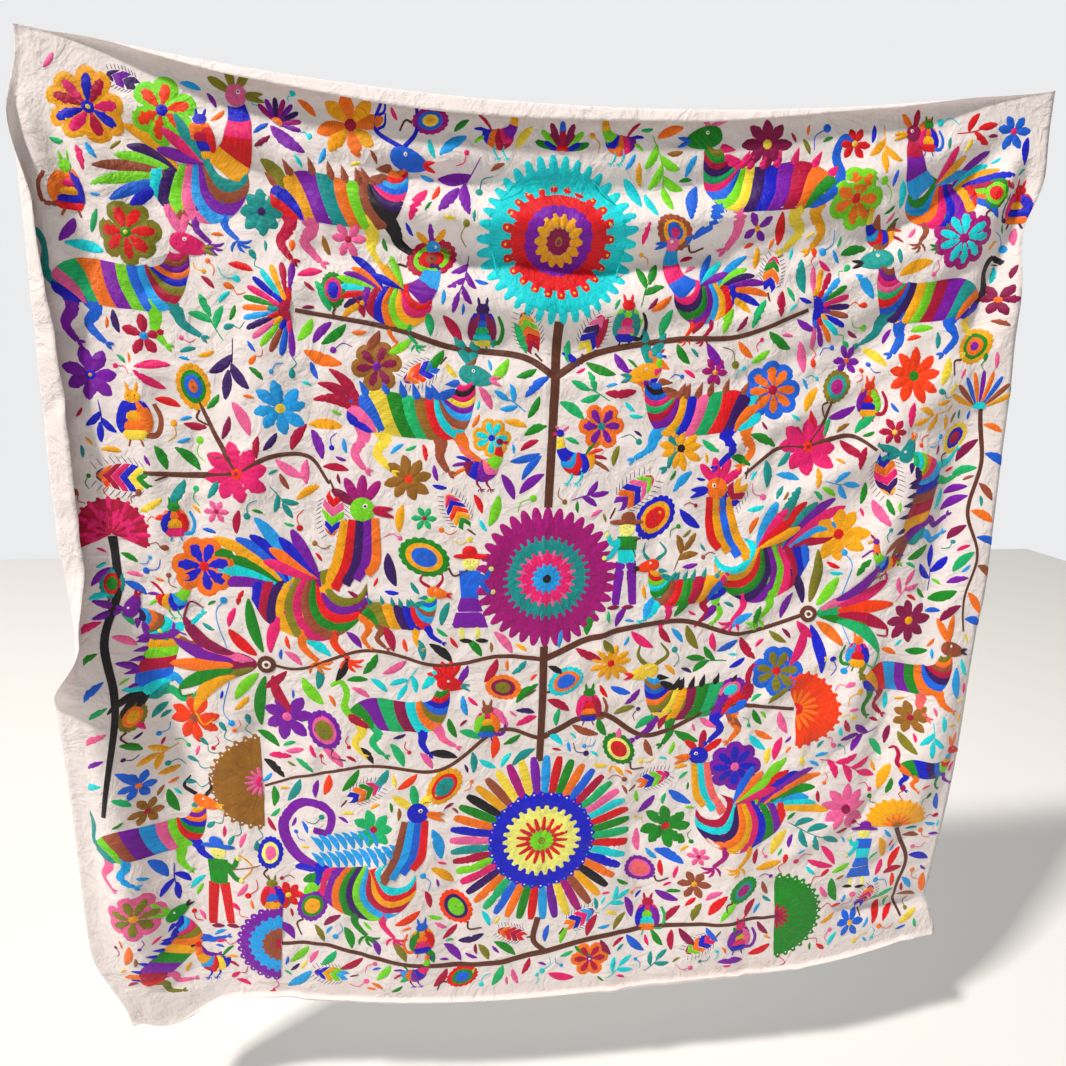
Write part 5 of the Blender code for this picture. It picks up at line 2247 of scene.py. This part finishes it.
@dataclass(frozen=True)
class Studio:
    """Camera, light and floor."""

    camera_place: tuple[float, float, float] = (-0.273, -1.663, -0.484)
    focal: float = 27.0
    yaw: float = 0.122
    pitch: float = -0.205
    roll: float = 0.018
    key_power: float = 4500.0
    fill_power: float = 16.0
    sky_front: float = 0.12
    sky_behind: float = 0.86
    floor_level: float = -2.3

    def build(self) -> None:
        """Set the camera, the lights, the surroundings and the floor."""
        self.set_camera()
        self.set_light("key", (-9.5, -7.2, 14.5), (0.0, 0.0, -0.9), 1.6, self.key_power, "#FFF9F4")
        self.set_light("fill", (0.6, -4.2, -0.2), (0.0, 0.0, -1.0), 2.4, self.fill_power, "#EEF3FF")
        self.set_light("back", (0.4, 3.2, 1.4), (0.0, 0.0, -1.0), 2.4, self.fill_power * 2.0, "#FFFFFF")
        self.set_sky()
        self.set_floor()
        bpy.context.scene.view_settings.view_transform = "Standard"

    def set_camera(self) -> None:
        """Point the camera by its yaw, pitch and roll."""
        ahead = np.array((sin(self.yaw) * cos(self.pitch), cos(self.yaw) * cos(self.pitch), sin(self.pitch)))
        right = np.array((cos(self.yaw), -sin(self.yaw), 0.0))
        up = np.cross(right, ahead)
        across = cos(self.roll) * right + sin(self.roll) * up
        above = -sin(self.roll) * right + cos(self.roll) * up
        lens = bpy.data.cameras.new("camera")
        lens.lens = self.focal
        lens.sensor_width = 36.0
        camera = bpy.data.objects.new("camera", lens)
        bpy.context.scene.collection.objects.link(camera)
        camera.matrix_world = standing(across, above, -ahead, self.camera_place)
        bpy.context.scene.camera = camera

    @staticmethod
    def set_light(
        name: str, place: tuple[float, float, float], target: tuple[float, float, float], size: float,
        power: float, colour: str,
    ) -> None:
        """Add a square soft light.

        Args:
            name: Its name.
            place: Where it stands.
            target: What it faces.
            size: Its side.
            power: Its power in watts.
            colour: Its sRGB colour.
        """
        lamp = bpy.data.lights.new(name, "AREA")
        lamp.size = size
        lamp.energy = power
        lamp.color = linear(colour)
        light = bpy.data.objects.new(name, lamp)
        bpy.context.scene.collection.objects.link(light)
        away = np.array(place) - np.array(target)
        away /= np.linalg.norm(away)
        right = np.cross((0.0, 0.0, 1.0), away)
        right /= np.linalg.norm(right)
        up = np.cross(away, right)
        light.matrix_world = standing(right, up, away, place)

    def set_sky(self) -> None:
        """Surround the cloth with near-white light, brighter behind it than in front of it."""
        world = bpy.data.worlds.new("surroundings")
        world.use_nodes = True
        tree = world.node_tree
        background = tree.nodes["Background"]
        background.inputs["Color"].default_value = (0.97, 0.98, 1.0, 1.0)
        towards = node(tree, "TexCoord").outputs["Generated"]
        parts = node(tree, "SeparateXYZ", links={"Vector": towards})
        level = node(
            tree, "MapRange",
            {
                "From Min": -0.25, "From Max": 0.35, "To Min": self.sky_front, "To Max": self.sky_behind,
                "interpolation_type": "SMOOTHSTEP",
            },
            {"Value": parts.outputs["Y"]},
        )
        tree.links.new(level.outputs["Result"], background.inputs["Strength"])
        bpy.context.scene.world = world

    def set_floor(self) -> None:
        """Lay a plain floor below the cloth."""
        side = np.array((-6.0, 6.0))
        across, along = np.meshgrid(side, side)
        points = np.stack((across.ravel(), along.ravel(), np.full(4, self.floor_level)), axis=1)
        floor = make_mesh("floor", points, np.array(((0, 1, 3, 2),)), points[:, :2])
        floor.data.materials.append(PalePaint().make())


# ---- The whole cloth ----

@dataclass
class Embroidery:
    """All the stitched families, worked in order."""

    sheet: ClothSheet
    works: list[StitchWork] = field(default_factory=list)

    def family(self, name: str, motifs: Sequence[object]) -> StitchWork:
        """Work a list of motifs into one family.

        Args:
            name: The family's name.
            motifs: Motifs that each have a work() method.

        Returns:
            The family.
        """
        work = StitchWork(name, seed=len(self.works) + 3)
        for motif in motifs:
            motif.work(work)
        self.works.append(work)
        return work

    def draw(self) -> None:
        """Draw every motif, and then fill the ground between them."""
        self.family("stitch_medallions", MEDALLIONS)
        stems = self.family("stitch_branches", ())
        for branch in BRANCHES:
            branch.work(stems, stems)
        self.family("stitch_flowers", (*FLOWERS, *FANS, *TRUMPETS))
        self.family("stitch_beasts", BEASTS)
        self.family("stitch_birds", BIRDS)
        self.family("stitch_feathers", (*FEATHERS, *EYE_LEAVES))
        self.family("stitch_figures", (*BEETLES, *VILLAGERS))
        ground = Ground()
        for work in self.works:
            ground.mark(work.patches)
        sprigs = self.family("stitch_sprigs", ())
        count = Filling().work(sprigs, ground)
        LOG.info("%d sprigs", count)

    def build(self) -> list[bpy.types.Object]:
        """Make the joined pieces, the back of the work included.

        Returns:
            One object for each family.
        """
        pieces = [work.build(self.sheet) for work in self.works]
        pieces.append(ReverseWork().build(self.works, self.sheet))
        return pieces


def main() -> None:
    """Build the cloth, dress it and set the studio."""
    logging.basicConfig(level=logging.INFO, format="%(name)s: %(message)s")
    cloth = ClothSheet()
    sheet = cloth.build()
    sheet.data.materials.append(CottonManta().make())
    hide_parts(CLOTH_NODE)
    LOG.info("sheet: %d faces", len(sheet.data.polygons))
    embroidery = Embroidery(cloth)
    embroidery.draw()
    thread = StrandedCotton().make()
    stitched = embroidery.build()
    for piece in stitched:
        piece.data.materials.append(thread)
        LOG.info("%s: %d faces", piece.name, len(piece.data.polygons))
    for piece in (sheet, *stitched):
        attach(piece, BODY)
    Studio().build()


if __name__ == "__main__":
    main()
